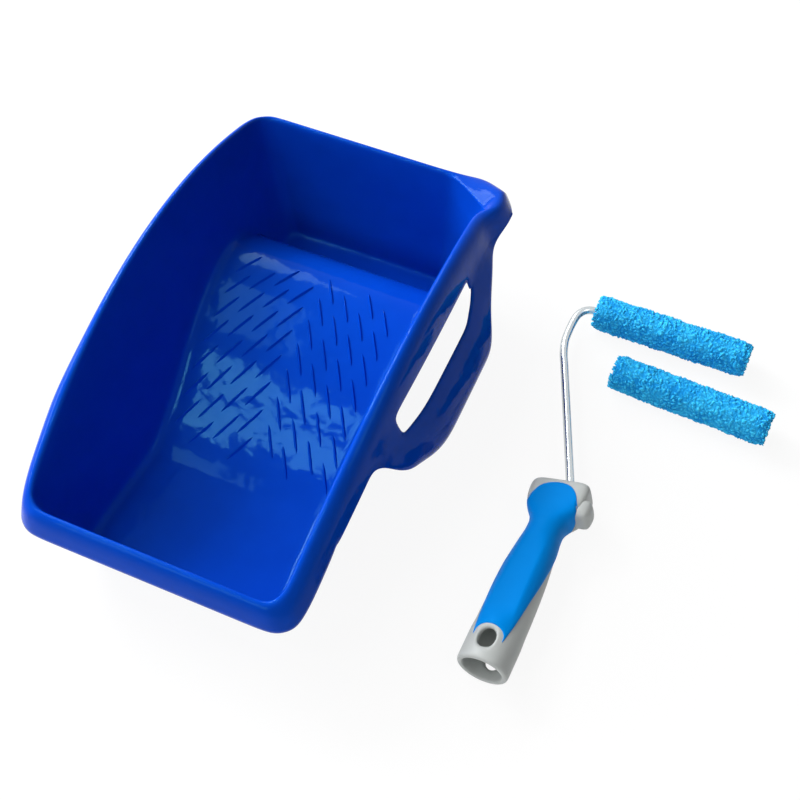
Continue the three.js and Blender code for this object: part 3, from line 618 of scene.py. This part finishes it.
RINGS = [
    lambda i, j: floor_place(i, j, 0.3 * FILLET, 0.3 * FILLET),
    wall_place(0.0),
    wall_place(0.1),
    wall_place(0.5),
    wall_place(0.93),
    lambda i, j: rim_place(i, j, 0, 0.1, 0),
    lambda i, j: rim_place(i, j, 0.1, -0.01, 0.06),
    lambda i, j: rim_place(i, j, 0.28, -0.02, 0.25),
    lambda i, j: rim_place(i, j, 0.52, 0.1, 0.6),
    lambda i, j: rim_place(i, j, 0.68, 0.28, 0.8),
    lambda i, j: rim_place(i, j, 0.82, 0.56, 0.9),
    lambda i, j: rim_place(i, j, 1, 1, 1),
]
LIP_RING = 6


def grow(bm, edges, place, layer):
    """Extrudes border edges and sends each new point to its own row and column of the next ring."""
    made = bmesh.ops.extrude_edge_only(bm, edges=edges)["geom"]
    fresh = [g for g in made if isinstance(g, bmesh.types.BMVert)]
    for v in fresh:
        v.co = place(v[COLUMN], v[ROW])
        v[LAYER] = layer
    return [e for e in made if isinstance(e, bmesh.types.BMEdge) and all(v in fresh for v in e.verts)]


border = [e for e in sheet.edges if e.is_boundary]
for number, ring in enumerate(RINGS, start=1):
    border = grow(sheet, border, ring, number)
skirt_layer = len(RINGS)
print("sheet so far:", len(sheet.faces), "faces")

# %% [markdown]
# The side handle is the same sheet carried on: from the right-hand skirt a plate leans outwards and
# down to a rolled bar. Its lower edge steps down to the bar on the near side and curves up again on
# the far side.

# %% Lower edge of the side handle
HANDLE_OUT, HANDLE_LEAN = 107.5, 0.45
BAR_BOTTOM, BAR_NEAR, BAR_FAR, BAR_BULGE, BAR_REACH = 54.8, 152, 240, 1.4, 4.5
edge_line = [
    (BRACKET_NEAR, 90), (97.3, 92.5), (101.8, 91), (105.7, 87.5), (109.6, 82), (112, 77), (114.5, 74),
    (118.5, 70.5), (124.7, 67.2), (134.7, 62.3), (141.8, 58.8), (148, 56.4), (BAR_NEAR + 4, BAR_BOTTOM),
]
edge_line += curve_points(
    (BAR_FAR - 6, BAR_BOTTOM), (BAR_FAR + 7, BAR_BOTTOM),
    (BAR_FAR + 10, BAR_BOTTOM + 16), (BAR_FAR + 27, HANDLE_TOP - 20),
)
edge_line += curve_points(
    (BAR_FAR + 27, HANDLE_TOP - 20), (BAR_FAR + 36, HANDLE_TOP - 12),
    (BAR_FAR + 50, HANDLE_TOP - 9), (BRACKET_FAR, HANDLE_TOP - 9),
)[1:]


print("edge points:", len(edge_line))

# %% [markdown]
# A share of 0 is the skirt and a share of 1 the plate's lower edge; the last two rows turn that edge
# under. Outside the bracket the plate shrinks to a narrow hem. The slot's far end leans forwards, and
# the bar swells a little.

# %% Plate of the side handle
SLOT_NEAR, SLOT_FAR, SLOT_LEAN, SLOT_EDGE = 130, 251, 13, 0.36
PLATE_NEAR, PLATE_FAR, HEM_LEAST = 38, 326, 0.08
PLATE_SHARES = [0.17, SLOT_EDGE, 0.44, 0.58, 0.72, 0.86, 0.96, 1.5, 2]


def handle_place(share):
    def place(i, j):
        top = rim_place(i, j, 1, 1, 1)
        y = top.y
        grown = plateau(y, BRACKET_NEAR, BRACKET_NEAR + 14, BRACKET_FAR - 12, BRACKET_FAR)
        away = plateau(y, BRACKET_NEAR, BRACKET_NEAR + 34, BRACKET_FAR - 34, BRACKET_FAR)
        in_bar = plateau(y, BAR_NEAR - 40, BAR_NEAR, BAR_FAR - 8, BAR_FAR + 28)
        pushed = plateau(y, BAR_NEAR - 27, BAR_NEAR + 18, BRACKET_FAR - 31, BRACKET_FAR)
        hem = mix(HEM_LEAST, 1, plateau(y, PLATE_NEAR + 4, 84, 304, PLATE_FAR - 4))
        hem_z = top.z - 0.6 * hem
        bottom = mix(hem_z, min(read_off(edge_line, y), hem_z), grown)
        leaning = HANDLE_OUT + HANDLE_LEAN * (HANDLE_TOP - bottom)
        foot = mix(top.x + 0.4 * hem, leaning, mix(0.3 * grown, 1, away)) + BAR_REACH * pushed
        if share <= 1:
            below_slot = share - SLOT_EDGE
            shift = plateau(y, SLOT_FAR - 48, SLOT_FAR, SLOT_FAR + 1, SLOT_FAR + 36)
            shift *= SLOT_LEAN * clamp((share - 0.1) / 0.26) * (1 - clamp(below_slot / 0.6))
            bulge = in_bar * BAR_BULGE * sin(pi * clamp(below_slot / 0.64)) ** 1.5
            x, z = mix(top.x, foot, share), mix(top.z, bottom, share)
            return Vector((x + bulge, y - shift, z + 0.4 * bulge))
        if share < 2:
            return Vector((foot - 1.5 * in_bar + 0.3 * hem, y, bottom - 0.4 * hem - away * (2 + 2 * in_bar)))
        return Vector((foot - 5 * in_bar + 0.3 * hem, y, bottom - 0.8 * hem - away * (3 + 4.5 * in_bar)))

    return place


def on_plate(v):
    return v[COLUMN] == NX and PLATE_NEAR < v.co.y < PLATE_FAR


plate = [e for e in border if all(on_plate(v) for v in e.verts)]
for number, share in enumerate(PLATE_SHARES, start=1):
    plate = grow(sheet, plate, handle_place(share), skirt_layer + number)
print("with the handle:", len(sheet.faces), "faces")

# %% [markdown]
# The slot for the fingers is the top of that plate taken away, between the skirt and the bar.

# %% Finger slot
SLOT_ROWS = 2
slot_faces = []
for face in sheet.faces:
    layers = [v[LAYER] for v in face.verts]
    in_slot = skirt_layer <= min(layers) and max(layers) <= skirt_layer + SLOT_ROWS
    in_slot = in_slot and SLOT_NEAR < face.calc_center_median().y < SLOT_FAR
    if in_slot and all(v[COLUMN] == NX for v in face.verts):
        slot_faces.append(face)
bmesh.ops.delete(sheet, geom=slot_faces, context="FACES")
print("slot: took away", len(slot_faces), "faces")

# %% [markdown]
# Smoothing would round away the spout's cut line, the ridge beside it and the skirt's lower edge, so
# these edges are creased.

# %% Creases
EDGE_CREASE, CUT_CREASE, RIDGE_CREASE = 0.8, 0.7, 0.85
CREASE = sheet.edges.layers.float.new("crease_edge")


def on_cut(v):
    return v[LAYER] == LIP_RING and NX - v[COLUMN] + NY - v[ROW] <= 2 and v[ROW] > 2


def on_ridge(v):
    return (v[COLUMN], v[ROW]) == (NX, NY - 1) and v[LAYER] >= LIP_RING


for edge in sheet.edges:
    if edge.is_boundary and not all(on_plate(v) for v in edge.verts):
        edge[CREASE] = EDGE_CREASE
    if all(on_cut(v) for v in edge.verts):
        edge[CREASE] = CUT_CREASE
    if all(on_ridge(v) for v in edge.verts):
        edge[CREASE] = RIDGE_CREASE
print("creased edges:", sum(edge[CREASE] > 0 for edge in sheet.edges))

# %% [markdown]
# The sheet gets its even wall on the inner side, and two rounds of smoothing.

# %% Thickness and smoothing
for v in sheet.verts:
    v.co = at(*v.co)
bmesh.ops.recalc_face_normals(sheet, faces=sheet.faces)
if min(sheet.faces, key=lambda f: f.calc_center_median().z).normal.z < 0:
    bmesh.ops.reverse_faces(sheet, faces=sheet.faces)
tray = to_piece(sheet, "tray_shell", TRAY_BLUE, "tray", ["tray"], outward=False)
wall = tray.modifiers.new("wall", "SOLIDIFY")
wall.thickness = WALL * 0.001
wall.offset = -1
wall.use_even_offset = False
subdivide(tray, 2)
print("tray sheet:", len(tray.data.polygons), "faces")

# %% [markdown]
# The ramp's ribs press surplus paint out of the roller. Each is a thin blade that tapers to nothing
# at both ends. It is modelled as a small grid that rises to a sharp ridge along its middle and is laid
# on the ramp. The lowest rows stand a little further to the right.

# %% Ribs on the ramp
RIB_LENGTH, RIB_HEIGHT, RIB_HALF, RIB_TURN = 23.5, 1.7, 1.15, radians(59)
COLUMN_PITCH, CENTRE_GAP, ROW_PITCH, ROW_SLANT = 15.6, 19.2, 18.2, 0.56
RIBS_TOP, RIBS_FOOT, LOW_SHIFT, RIB_SINK = CREST_Y + 3, RAMP_FOOT + 10, 2.4, 0.05


def rib_places():
    for column in range(4):
        for side in (1, -1):
            x = side * (CENTRE_GAP / 2 + column * COLUMN_PITCH)
            y = CREST_Y - 9 + ROW_SLANT * x
            while y + ROW_PITCH < RIBS_TOP:
                y += ROW_PITCH
            while y > RIBS_TOP:
                y -= ROW_PITCH
            while y > RIBS_FOOT:
                yield x + LOW_SHIFT * smoothstep(160 - y, 0, 30), y, -side * RIB_TURN
                y -= ROW_PITCH


ribs = bmesh.new()
for x, y, turn in rib_places():
    blade = bmesh.ops.create_grid(ribs, x_segments=14, y_segments=8, size=1)["verts"]
    for v in blade:
        u, w = v.co.x, v.co.y
        taper = 1 - abs(u) ** 5
        flat = w * RIB_HALF * (0.12 + 0.88 * taper)
        px = x + u * RIB_LENGTH / 2 * cos(turn) - flat * sin(turn)
        py = y + u * RIB_LENGTH / 2 * sin(turn) + flat * cos(turn)
        ridge = RIB_HEIGHT * taper ** 0.8 * (1 - abs(w)) ** 1.15
        v.co = at(px, py, floor_height(py) + ridge - RIB_SINK)
rib_piece = to_piece(ribs, "ramp_ribs", TRAY_BLUE, "tray", (), outward=False)
subdivide(rib_piece, 1)
print("ribs:", len(list(rib_places())))

# %% [markdown]
# The frame rod is one length of 6 mm wire bent in a few places, so a ring of points is carried along
# the bends. It leaves the handle's head, runs straight to a knee, swings round and ends in the axle
# that the sleeve turns on.

# %% Route of the rod
ROD_RADIUS, GRIP_RADIUS, AXLE_Y, AXLE_Z = 3, 17.5, 334.3, 13.3
head_end, knee = Vector((216.6, 180, GRIP_RADIUS)), Vector((174.2, 288, 14.1))
rod_knots = [head_end.lerp(knee, share) for share in (-0.13, 0.3, 0.7, 0.9, 0.985)]
rod_knots.append(Vector((171.9, 298, 13.6)))
rod_knots += [
    Vector((x, y, AXLE_Z))
    for x, y in (
        (171.3, 308), (171.5, 318), (172.6, 325.5), (176.2, 331.4), (182.4, 334.2),
        (190, AXLE_Y), (240, AXLE_Y), (294.4, AXLE_Y),
    )
]


def smooth_route(knots, steps):
    """Points along a smooth curve through the knots."""
    points = []
    for n in range(len(knots) - 1):
        a, b = knots[n], knots[n + 1]
        first = second = (b - a) / 3
        reach = (b - a).length
        if n:
            first = (b - knots[n - 1]).normalized() * reach / 3
        if n + 2 < len(knots):
            second = (knots[n + 2] - a).normalized() * reach / 3
        points += geometry.interpolate_bezier(a, a + first, b - second, b, steps + 1)[:-1]
    return points + [knots[-1]]


print("rod knots:", len(rod_knots))

# %% [markdown]
# The ring is kept square to the way the wire runs, and both ends of the wire are closed.

# %% Bent rod


def sweep(bm, route, radius, sides):
    """Carries a ring of points along a route, keeping it square to the way it runs."""
    ahead = (route[1] - route[0]).normalized()
    turn = ahead.to_track_quat("Z", "Y")
    ring = bmesh.ops.create_circle(bm, segments=sides, radius=radius, cap_ends=False)["verts"]
    bmesh.ops.transform(bm, matrix=Matrix.Translation(route[0]) @ turn.to_matrix().to_4x4(), verts=ring)
    bmesh.ops.contextual_create(bm, geom=ring)
    edges = [e for e in bm.edges if all(v in ring for v in e.verts)]
    for n in range(1, len(route)):
        onward = (route[min(n + 1, len(route) - 1)] - route[n - 1]).normalized()
        bend = ahead.rotation_difference(onward)
        made = bmesh.ops.extrude_edge_only(bm, edges=edges)["geom"]
        ring = [g for g in made if isinstance(g, bmesh.types.BMVert)]
        fresh = set(ring)
        edges = [g for g in made if isinstance(g, bmesh.types.BMEdge) and set(g.verts) <= fresh]
        move = Matrix.Translation(route[n]) @ bend.to_matrix().to_4x4() @ Matrix.Translation(-route[n - 1])
        bmesh.ops.transform(bm, matrix=move, verts=ring)
        ahead = onward
    bmesh.ops.contextual_create(bm, geom=ring)


wire = bmesh.new()
sweep(wire, smooth_route(rod_knots, 5), ROD_RADIUS, 20)
for v in wire.verts:
    v.co = at(*v.co)
rod = to_piece(wire, "bent_rod", ZINC, "roller_frame", ["frame_rod"])
print("rod:", len(rod.data.polygons), "faces")

# %% [markdown]
# The pile is a lambskin-like fabric: soft curled clumps with creases between them. Its finish has a noise of
# two blues, and painted shade darkens the creases by a weight which the shape stores as an attribute.

# %% Pile finish


def pile_material():
    look = bpy.data.materials.new("blue_terry_pile")
    look.use_nodes = True
    tree = look.node_tree
    surface = tree.nodes["Principled BSDF"]
    where = group_node(tree, "ShaderNodeTexCoord")
    clumps = group_node(tree, "ShaderNodeTexNoise")
    clumps.inputs["Scale"].default_value = 500
    clumps.inputs["Detail"].default_value = 4
    fibres = group_node(tree, "ShaderNodeTexNoise")
    fibres.inputs["Scale"].default_value = 2400
    fibres.inputs["Detail"].default_value = 2
    colour = group_node(tree, "ShaderNodeValToRGB")
    colour.color_ramp.elements[0].position = 0.34
    colour.color_ramp.elements[0].color = (0.017, 0.43, 0.82, 1)
    colour.color_ramp.elements[1].position = 0.66
    colour.color_ramp.elements[1].color = (0.060, 0.60, 0.94, 1)
    relief = group_node(tree, "ShaderNodeBump")
    relief.inputs["Distance"].default_value = 0.0003
    relief.inputs["Strength"].default_value = 0.6
    for texture in (clumps, fibres):
        tree.links.new(where.outputs["Object"], texture.inputs["Vector"])
    tree.links.new(clumps.outputs["Fac"], colour.inputs["Fac"])
    tree.links.new(fibres.outputs["Fac"], relief.inputs["Height"])
    # painted shade: the stored crease weight mixes the colour towards a deep blue where the clumps part
    painted_crease_shade = group_node(tree, "ShaderNodeAttribute", attribute_name="painted_crease_shade")
    shaded = group_node(tree, "ShaderNodeMix", data_type="RGBA")
    shaded.inputs["B"].default_value = (0.005, 0.26, 0.66, 1)
    tree.links.new(painted_crease_shade.outputs["Fac"], shaded.inputs["Factor"])
    tree.links.new(colour.outputs["Color"], shaded.inputs["A"])
    tree.links.new(shaded.outputs["Result"], surface.inputs["Base Color"])
    tree.links.new(relief.outputs["Normal"], surface.inputs["Normal"])
    surface.inputs["Roughness"].default_value = 0.9
    surface.inputs["Specular IOR Level"].default_value = 0.15
    return look


PILE = pile_material()
print("pile finish:", PILE.name)

# %% [markdown]
# A fine tube of faces is pushed out by a cell pattern whose cells are warped into curls. The ends are
# rounded off, and loose tufts fringe them.

# %% Pile
SLEEVE_START, SPARE_START = Vector((186.5, AXLE_Y, AXLE_Z)), Vector((215.5, 286.6, AXLE_Z))
SPARE_TURN, PILE_LEAST_Z = radians(-2.4), 0.25
PILE_LENGTH, CORE_LENGTH, PILE_INNER, PILE_END, PILE_ROOT = 115, 112, 9.1, 10.6, 12.2
PILE_ROWS, PILE_AROUND, CLUMP, TUFTS = 230, 144, 2.8, 60


def clump_height(where):
    """Rounded clumps with creases between them, warped so that they curl; about 0 to 1."""
    warped = where + 2.8 * noise.noise_vector(where * 0.18) + 1.1 * noise.noise_vector(where * 0.55)
    near, second = noise.voronoi(Vector((warped.x * 0.8, warped.y * 1.1, warped.z * 1.1)) / CLUMP)[0][:2]
    return clamp(1.7 * (second - near)) ** 0.85


def pile_tube(bm):
    """A tube along X, open inside, with many rows of faces on its outer wall."""
    outline = [(PILE_INNER, 0.6), (PILE_END, 0.0)]
    outline += [(PILE_ROOT, x) for x in np.linspace(0.5, PILE_LENGTH - 0.5, PILE_ROWS)]
    outline += [(PILE_END, PILE_LENGTH), (PILE_INNER, PILE_LENGTH - 0.6)]
    ring = bmesh.ops.create_circle(bm, segments=PILE_AROUND, radius=outline[0][0])["verts"]
    bmesh.ops.rotate(bm, verts=ring, matrix=Matrix.Rotation(pi / 2, 3, "Y"))
    bmesh.ops.translate(bm, verts=ring, vec=(outline[0][1], 0, 0))
    edges = list(bm.edges)
    for (r0, x0), (r1, x1) in zip(outline, outline[1:]):
        made = bmesh.ops.extrude_edge_only(bm, edges=edges)["geom"]
        ring = [g for g in made if isinstance(g, bmesh.types.BMVert)]
        fresh = set(ring)
        edges = [g for g in made if isinstance(g, bmesh.types.BMEdge) and set(g.verts) <= fresh]
        bmesh.ops.scale(bm, vec=(1, r1 / r0, r1 / r0), verts=ring)
        bmesh.ops.translate(bm, vec=(x1 - x0, 0, 0), verts=ring)


def raise_clumps(bm, offset):
    painted_crease_shade = bm.verts.layers.float.new("painted_crease_shade")
    for v in bm.verts:
        out = Vector((0, v.co.y, v.co.z))
        if out.length > PILE_INNER + 1:
            where = v.co + offset
            from_middle = v.co.x - PILE_LENGTH / 2
            end = Vector((from_middle, 0, 0)).normalized() * smoothstep(abs(from_middle), 55, 58)
            rise = clump_height(where)
            strength = 0.75 + 0.5 * clamp(0.5 + noise.noise(where * 0.09 + Vector((7, 0, 0))))
            # painted shade weight for the creases between clumps, read by the pile finish to darken them
            v[painted_crease_shade] = strength * (1 - smoothstep(rise, 0.0, 0.8))
            lift = 1.3 * strength * rise + 0.4 * noise.noise(where * 0.16) + 0.15
            lift -= 1.2 * smoothstep(abs(from_middle), 51, 58) ** 2
            v.co += out.normalized() * lift + end * 0.8 * lift


def add_tufts(bm, rng):
    for side in (0, PILE_LENGTH):
        for _ in range(TUFTS):
            angle, radius = rng.uniform(0, 2 * pi), rng.uniform(9.6, 11.6)
            tuft = bmesh.ops.create_icosphere(bm, subdivisions=1, radius=1)["verts"]
            size = Matrix.Diagonal((rng.uniform(0.9, 2.2), rng.uniform(0.6, 1.2), rng.uniform(0.6, 1.2), 1))
            lean = Matrix.Rotation(rng.uniform(-0.7, 0.7), 4, "Y")
            lean = lean @ Matrix.Rotation(rng.uniform(-0.7, 0.7), 4, "Z")
            place = Matrix.Rotation(angle, 4, "X") @ Matrix.Translation((side, 0, radius))
            bmesh.ops.transform(bm, matrix=place @ lean @ size, verts=tuft)


def make_pile(name, start, turn, body, replaced, seed):
    bm = bmesh.new()
    pile_tube(bm)
    raise_clumps(bm, Vector((seed * 31.0, 0, 0)))
    add_tufts(bm, np.random.default_rng(seed))
    middle = Matrix.Translation(start) @ Matrix.Rotation(turn, 4, "Z")
    overhang = (PILE_LENGTH - CORE_LENGTH) / 2
    bmesh.ops.transform(bm, matrix=middle @ Matrix.Translation((-overhang, 0, 0)), verts=bm.verts)
    for v in bm.verts:
        v.co.z = max(v.co.z, PILE_LEAST_Z)
        v.co = at(*v.co)
    return to_piece(bm, name, PILE, body, replaced, outward=False)


sleeve = make_pile("sleeve_fur", SLEEVE_START, 0, "sleeve", ["sleeve_pile"], 3)
spare = make_pile("spare_fur", SPARE_START, SPARE_TURN, "spare_sleeve", ["spare_pile"], 8)
print("pile:", len(sleeve.data.polygons), "faces each")

# %% [markdown]
# The handle is a hard grey body with a soft blue skin moulded over it. Both follow one set of
# sections: round at the socket, slim at the neck and a rounded box at the head. A single function
# turns a place along the handle and an angle round it into a point, so the skin always lies on the body.

# %% Handle sections
# Each row of the sections says how far along it lies, its half width, its half height and how square
# it is: 2 is an ellipse, and more is more like a box.
HANDLE_ZERO, HANDLE_TURN, HANDLE_ROLL = Vector((209.5, 31.5, GRIP_RADIUS)), radians(-1.8), radians(-14)
FLAT_TOP, HANDLE_LEAST_Z = 0.84, 0.1
HANDLE_SECTIONS = [
    (0, 15.6, 15.6, 2), (0.5, 16.7, 16.7, 2), (1.6, 17.4, 17.4, 2), (30, 17.5, 17.2, 2),
    (52, 17.1, 16.7, 2), (74, 15.9, 15.5, 2), (90, 14.1, 13.9, 2), (103, 12.1, 12.5, 2.1),
    (110, 11.7, 12.2, 2.3), (115, 13, 12.6, 2.8), (118, 15.6, 13.0, 3.6), (121.5, 18.2, 13.3, 4.5),
    (126, 19.9, 13.4, 5.5), (132, 20.4, 13.4, 6), (138, 20.5, 13.4, 6), (142, 19.9, 13.2, 6),
    (143.6, 18.6, 12.4, 5.5), (144, 17, 11, 5),
]


def section(y):
    return [read_off(HANDLE_SECTIONS, y, column) for column in (1, 2, 3)]


def on_section(angle, half, rise, square):
    c, s = cos(angle), sin(angle)
    across = half * abs(c) ** (2 / square) * (1 if c > 0 else -1)
    return across, rise * abs(s) ** (2 / square) * (1 if s > 0 else -1)


def handle_point(y, angle, proud=0.0):
    half, rise, square = section(y)
    x, z = on_section(angle, half + proud, rise + proud, square)
    flat = plateau(y, 26, 42, 86, 106)
    limit = FLAT_TOP * rise + proud
    if z > limit:
        z = limit + (z - limit) * mix(1, 0.12, flat)
    slant = 2.4 * smoothstep(y, 132, 144) * x / 20
    return Vector((x, y + slant, z))


def put_handle(bm):
    turn = Matrix.Rotation(HANDLE_TURN, 4, "Z") @ Matrix.Rotation(HANDLE_ROLL, 4, "Y")
    place = Matrix.Translation(HANDLE_ZERO) @ turn
    for v in bm.verts:
        x, y, z = place @ v.co
        v.co = at(x, y, max(z, HANDLE_LEAST_Z))


print("handle length", HANDLE_SECTIONS[-1][0], "mm")

# %% [markdown]
# The body is one loft that starts deep in the socket, comes out over its lip and runs to the head.

# %% Grey handle body
SIDES, HOLE_AT, HOLE_PITCH, SOCKET_RADIUS, SKIN_DEPTH = 40, 15.5, 3.5, 13, 0.45
HOLE_ROWS = [HOLE_AT + n * HOLE_PITCH for n in range(-2, 3)]
SOCKET_ROWS = [(52, 10.8), (51.5, 11.6), (36, 12.2), (27, 12.6)]
SOCKET_ROWS += [(y, SOCKET_RADIUS) for y in reversed(HOLE_ROWS)]
SOCKET_ROWS += [(4, 13.3), (1.5, 13.4), (0.4, 13.7), (0, 14.3)]
BODY_ROWS = [0, 0.5, 1.6, 4.5] + HOLE_ROWS + [
    27, 31, 36, 41, 46, 58, 70, 80, 87, 93, 99, 104, 108, 111, 113.5, 116, 118.5,
    121, 124, 128, 133, 138, 142, 143.6, 144,
]


def sunk(y):
    """How deep the body lies below the plain section where the skin covers it."""
    return SKIN_DEPTH * (smoothstep(y, 23, 31) - smoothstep(y, 122, 133))


body = bmesh.new()
STEP = body.verts.layers.int.new("step")
SPOKE = body.verts.layers.int.new("spoke")
ring = bmesh.ops.create_circle(body, segments=SIDES, radius=1)["verts"]
for v in ring:
    v[SPOKE] = round(atan2(v.co.y, v.co.x) / (2 * pi) * SIDES) % SIDES
bmesh.ops.contextual_create(body, geom=ring)
edges = list(body.edges)
body_steps = [(y, radius) for y, radius in SOCKET_ROWS] + [(y, None) for y in BODY_ROWS]
for number, (y, radius) in enumerate(body_steps):
    if number:
        made = bmesh.ops.extrude_edge_only(body, edges=edges)["geom"]
        ring = [g for g in made if isinstance(g, bmesh.types.BMVert)]
        fresh = set(ring)
        edges = [g for g in made if isinstance(g, bmesh.types.BMEdge) and set(g.verts) <= fresh]
    for v in ring:
        v[STEP] = number
        angle = 2 * pi * v[SPOKE] / SIDES
        if radius is None:
            v.co = handle_point(y, angle, -sunk(y))
        else:
            v.co = Vector((radius * cos(angle), y, radius * sin(angle)))
bmesh.ops.contextual_create(body, geom=ring)
print("body steps:", len(body_steps))

# %% [markdown]
# The hanging hole goes through the top and the bottom. A block of four by four faces is taken out of
# the inner and the outer wall, its border is drawn into an ellipse, and the two openings are bridged.

# %% Hanging hole
HOLE_HALF_WIDTH, HOLE_HALF_LENGTH, HOLE_LIP, NOT_IN_BLOCK = 5.8, 6.96, 0.5, 99
INNER_HOLE = [n for n, (y, radius) in enumerate(body_steps) if radius and y in HOLE_ROWS]
OUTER_HOLE = [n for n, (y, radius) in enumerate(body_steps) if radius is None and y in HOLE_ROWS]


def hole_grid(v, steps, top):
    """Column and row of a point in the 4 by 4 block of faces round the hole, each from -2 to 2."""
    middle = SIDES // 4 if top else 3 * SIDES // 4
    across = (middle - v[SPOKE]) if top else (v[SPOKE] - middle)
    return across, (body_steps[v[STEP]][0] - HOLE_AT) / HOLE_PITCH if v[STEP] in steps else NOT_IN_BLOCK


def hole_depth(x, y, inner):
    """How far from the handle's middle line the wall lies at a point of the hole's border."""
    if inner:
        return sqrt(SOCKET_RADIUS ** 2 - x * x)
    half, rise, _ = section(y)
    return rise * sqrt(1 - (x / half) ** 2) + HOLE_LIP


for top in (True, False):
    loops = []
    for steps in (INNER_HOLE, OUTER_HOLE):
        block = [v for v in body.verts if v[STEP] in steps and abs(hole_grid(v, steps, top)[0]) <= 2]
        inside = set(block)
        faces = [f for f in body.faces if set(f.verts) <= inside]
        for v in block:
            across, along = hole_grid(v, steps, top)
            reach = max(abs(across), abs(along)) / 2
            if reach == 1:
                turn = atan2(along, across)
                x, y = HOLE_HALF_WIDTH * cos(turn), HOLE_AT + HOLE_HALF_LENGTH * sin(turn)
                v.co = Vector((x, y, hole_depth(x, y, steps is INNER_HOLE) * (1 if top else -1)))
        bmesh.ops.delete(body, geom=faces, context="FACES")
        loops += [e for e in body.edges if e.is_boundary and all(v in inside for v in e.verts)]
    bmesh.ops.bridge_loops(body, edges=loops)
print("open edges left:", sum(e.is_boundary for e in body.edges))

# %% [markdown]
# A rounded lug stands on the right of the head for the thumb. It is a block with wide bevels.

# %% Thumb lug
LUG_MIDDLE, LUG_HALF, LUG_BEVEL = (17.4, 128.2, 0.5), (8.6, 8.2, 10.4), 5.8
lug = bmesh.ops.create_cube(body, size=2)["verts"]
lug_place = Matrix.Translation(LUG_MIDDLE) @ Matrix.Diagonal((*LUG_HALF, 1))
bmesh.ops.transform(body, matrix=lug_place, verts=lug)
lug_edges = [e for e in body.edges if all(v in lug for v in e.verts)]
bmesh.ops.bevel(body, geom=lug_edges, offset=LUG_BEVEL, affect="EDGES", segments=3, profile=0.5, material=-1)
put_handle(body)
grey_body = to_piece(body, "grey_handle_body", GREY, "roller_frame", ["handle_core"])
subdivide(grey_body, 1)
print("grey body:", len(grey_body.data.polygons), "faces")

# %% [markdown]
# The blue skin is a grid laid on the same sections. Its near end is forked round the hanging hole,
# its sides run forwards and down until they wrap most of the neck, and its far end is an arch over the
# head. Its edge drops to the body, so that it meets the grey with hardly a step.

# %% Blue grip skin
GRIP_START, GRIP_END, FORK, ARCH_MIDDLE, ARCH_HALF = 13.5, 140.5, 9.2, 0.6, 15.6
ARCH_DEPTH, SKIN_PROUD, SKIN_WALL = 16, 0.12, 0.0016
HALF_ANGLES = [
    (13.5, 34), (18, 38), (30, 46), (52, 58), (74, 76), (88, 94), (100, 116), (108, 124), (116, 126),
]


def grip_half_angle(y):
    return radians(read_off(HALF_ANGLES, y))


def grip_place(u, v):
    """u runs round the handle from -1 to 1 and v along it from 0 to 1."""
    start_x = abs(u) * section(GRIP_START)[0] * sin(grip_half_angle(GRIP_START))
    start = HOLE_AT + sqrt(max(FORK ** 2 - start_x ** 2, 0))
    if start_x >= FORK:
        start = HOLE_AT - 2 * clamp(start_x - FORK)
    end = GRIP_END - ARCH_DEPTH * (1 - sqrt(max(0.0, 1 - 0.98 * abs(u) ** 2.2)))
    y = mix(start, end, v)
    half, _, square = section(y)
    x = clamp((ARCH_MIDDLE + u * ARCH_HALF) / half, -1, 1)
    over_head = asin(abs(x) ** (square / 2)) * (1 if x > 0 else -1)
    return y, pi / 2 - mix(u * grip_half_angle(y), over_head, smoothstep(y, 114, 129))


skin = bmesh.new()
bmesh.ops.create_grid(skin, x_segments=28, y_segments=70, size=1)
for v in skin.verts:
    u = v.co.x
    y, angle = grip_place(u, (v.co.y + 1) / 2)
    v.co = handle_point(y, angle, SKIN_DEPTH * (1 - smoothstep(abs(u), 0.9, 1)) + SKIN_PROUD)
put_handle(skin)
bmesh.ops.recalc_face_normals(skin, faces=skin.faces)
if sum(f.normal.z for f in skin.faces) < 0:
    bmesh.ops.reverse_faces(skin, faces=skin.faces)
blue_skin = to_piece(
    skin, "blue_grip_skin", GRIP_BLUE, "roller_frame", ["handle_grip"], outward=False
)
thick = blue_skin.modifiers.new("thick", "SOLIDIFY")
thick.thickness = SKIN_WALL
thick.offset = -1
subdivide(blue_skin, 1)
print("blue skin:", len(blue_skin.data.polygons), "faces")

# %% [markdown]
# The pieces whose solids already have the right shape stay as they are and only get their finish.

# %% Finishes of the carried-over solids
KEPT = {
    "stop_collar": ZINC, "retainer": ZINC,
    "roller_cage": DARK_PLASTIC, "cage_cap": DARK_PLASTIC,
    "sleeve_core": CORE_PLASTIC, "spare_core": CORE_PLASTIC,
}
for node, look in KEPT.items():
    solid = frame["nodes"][node]
    solid.data.materials.clear()
    solid.data.materials.append(look)
print("kept:", len(KEPT), "solids")
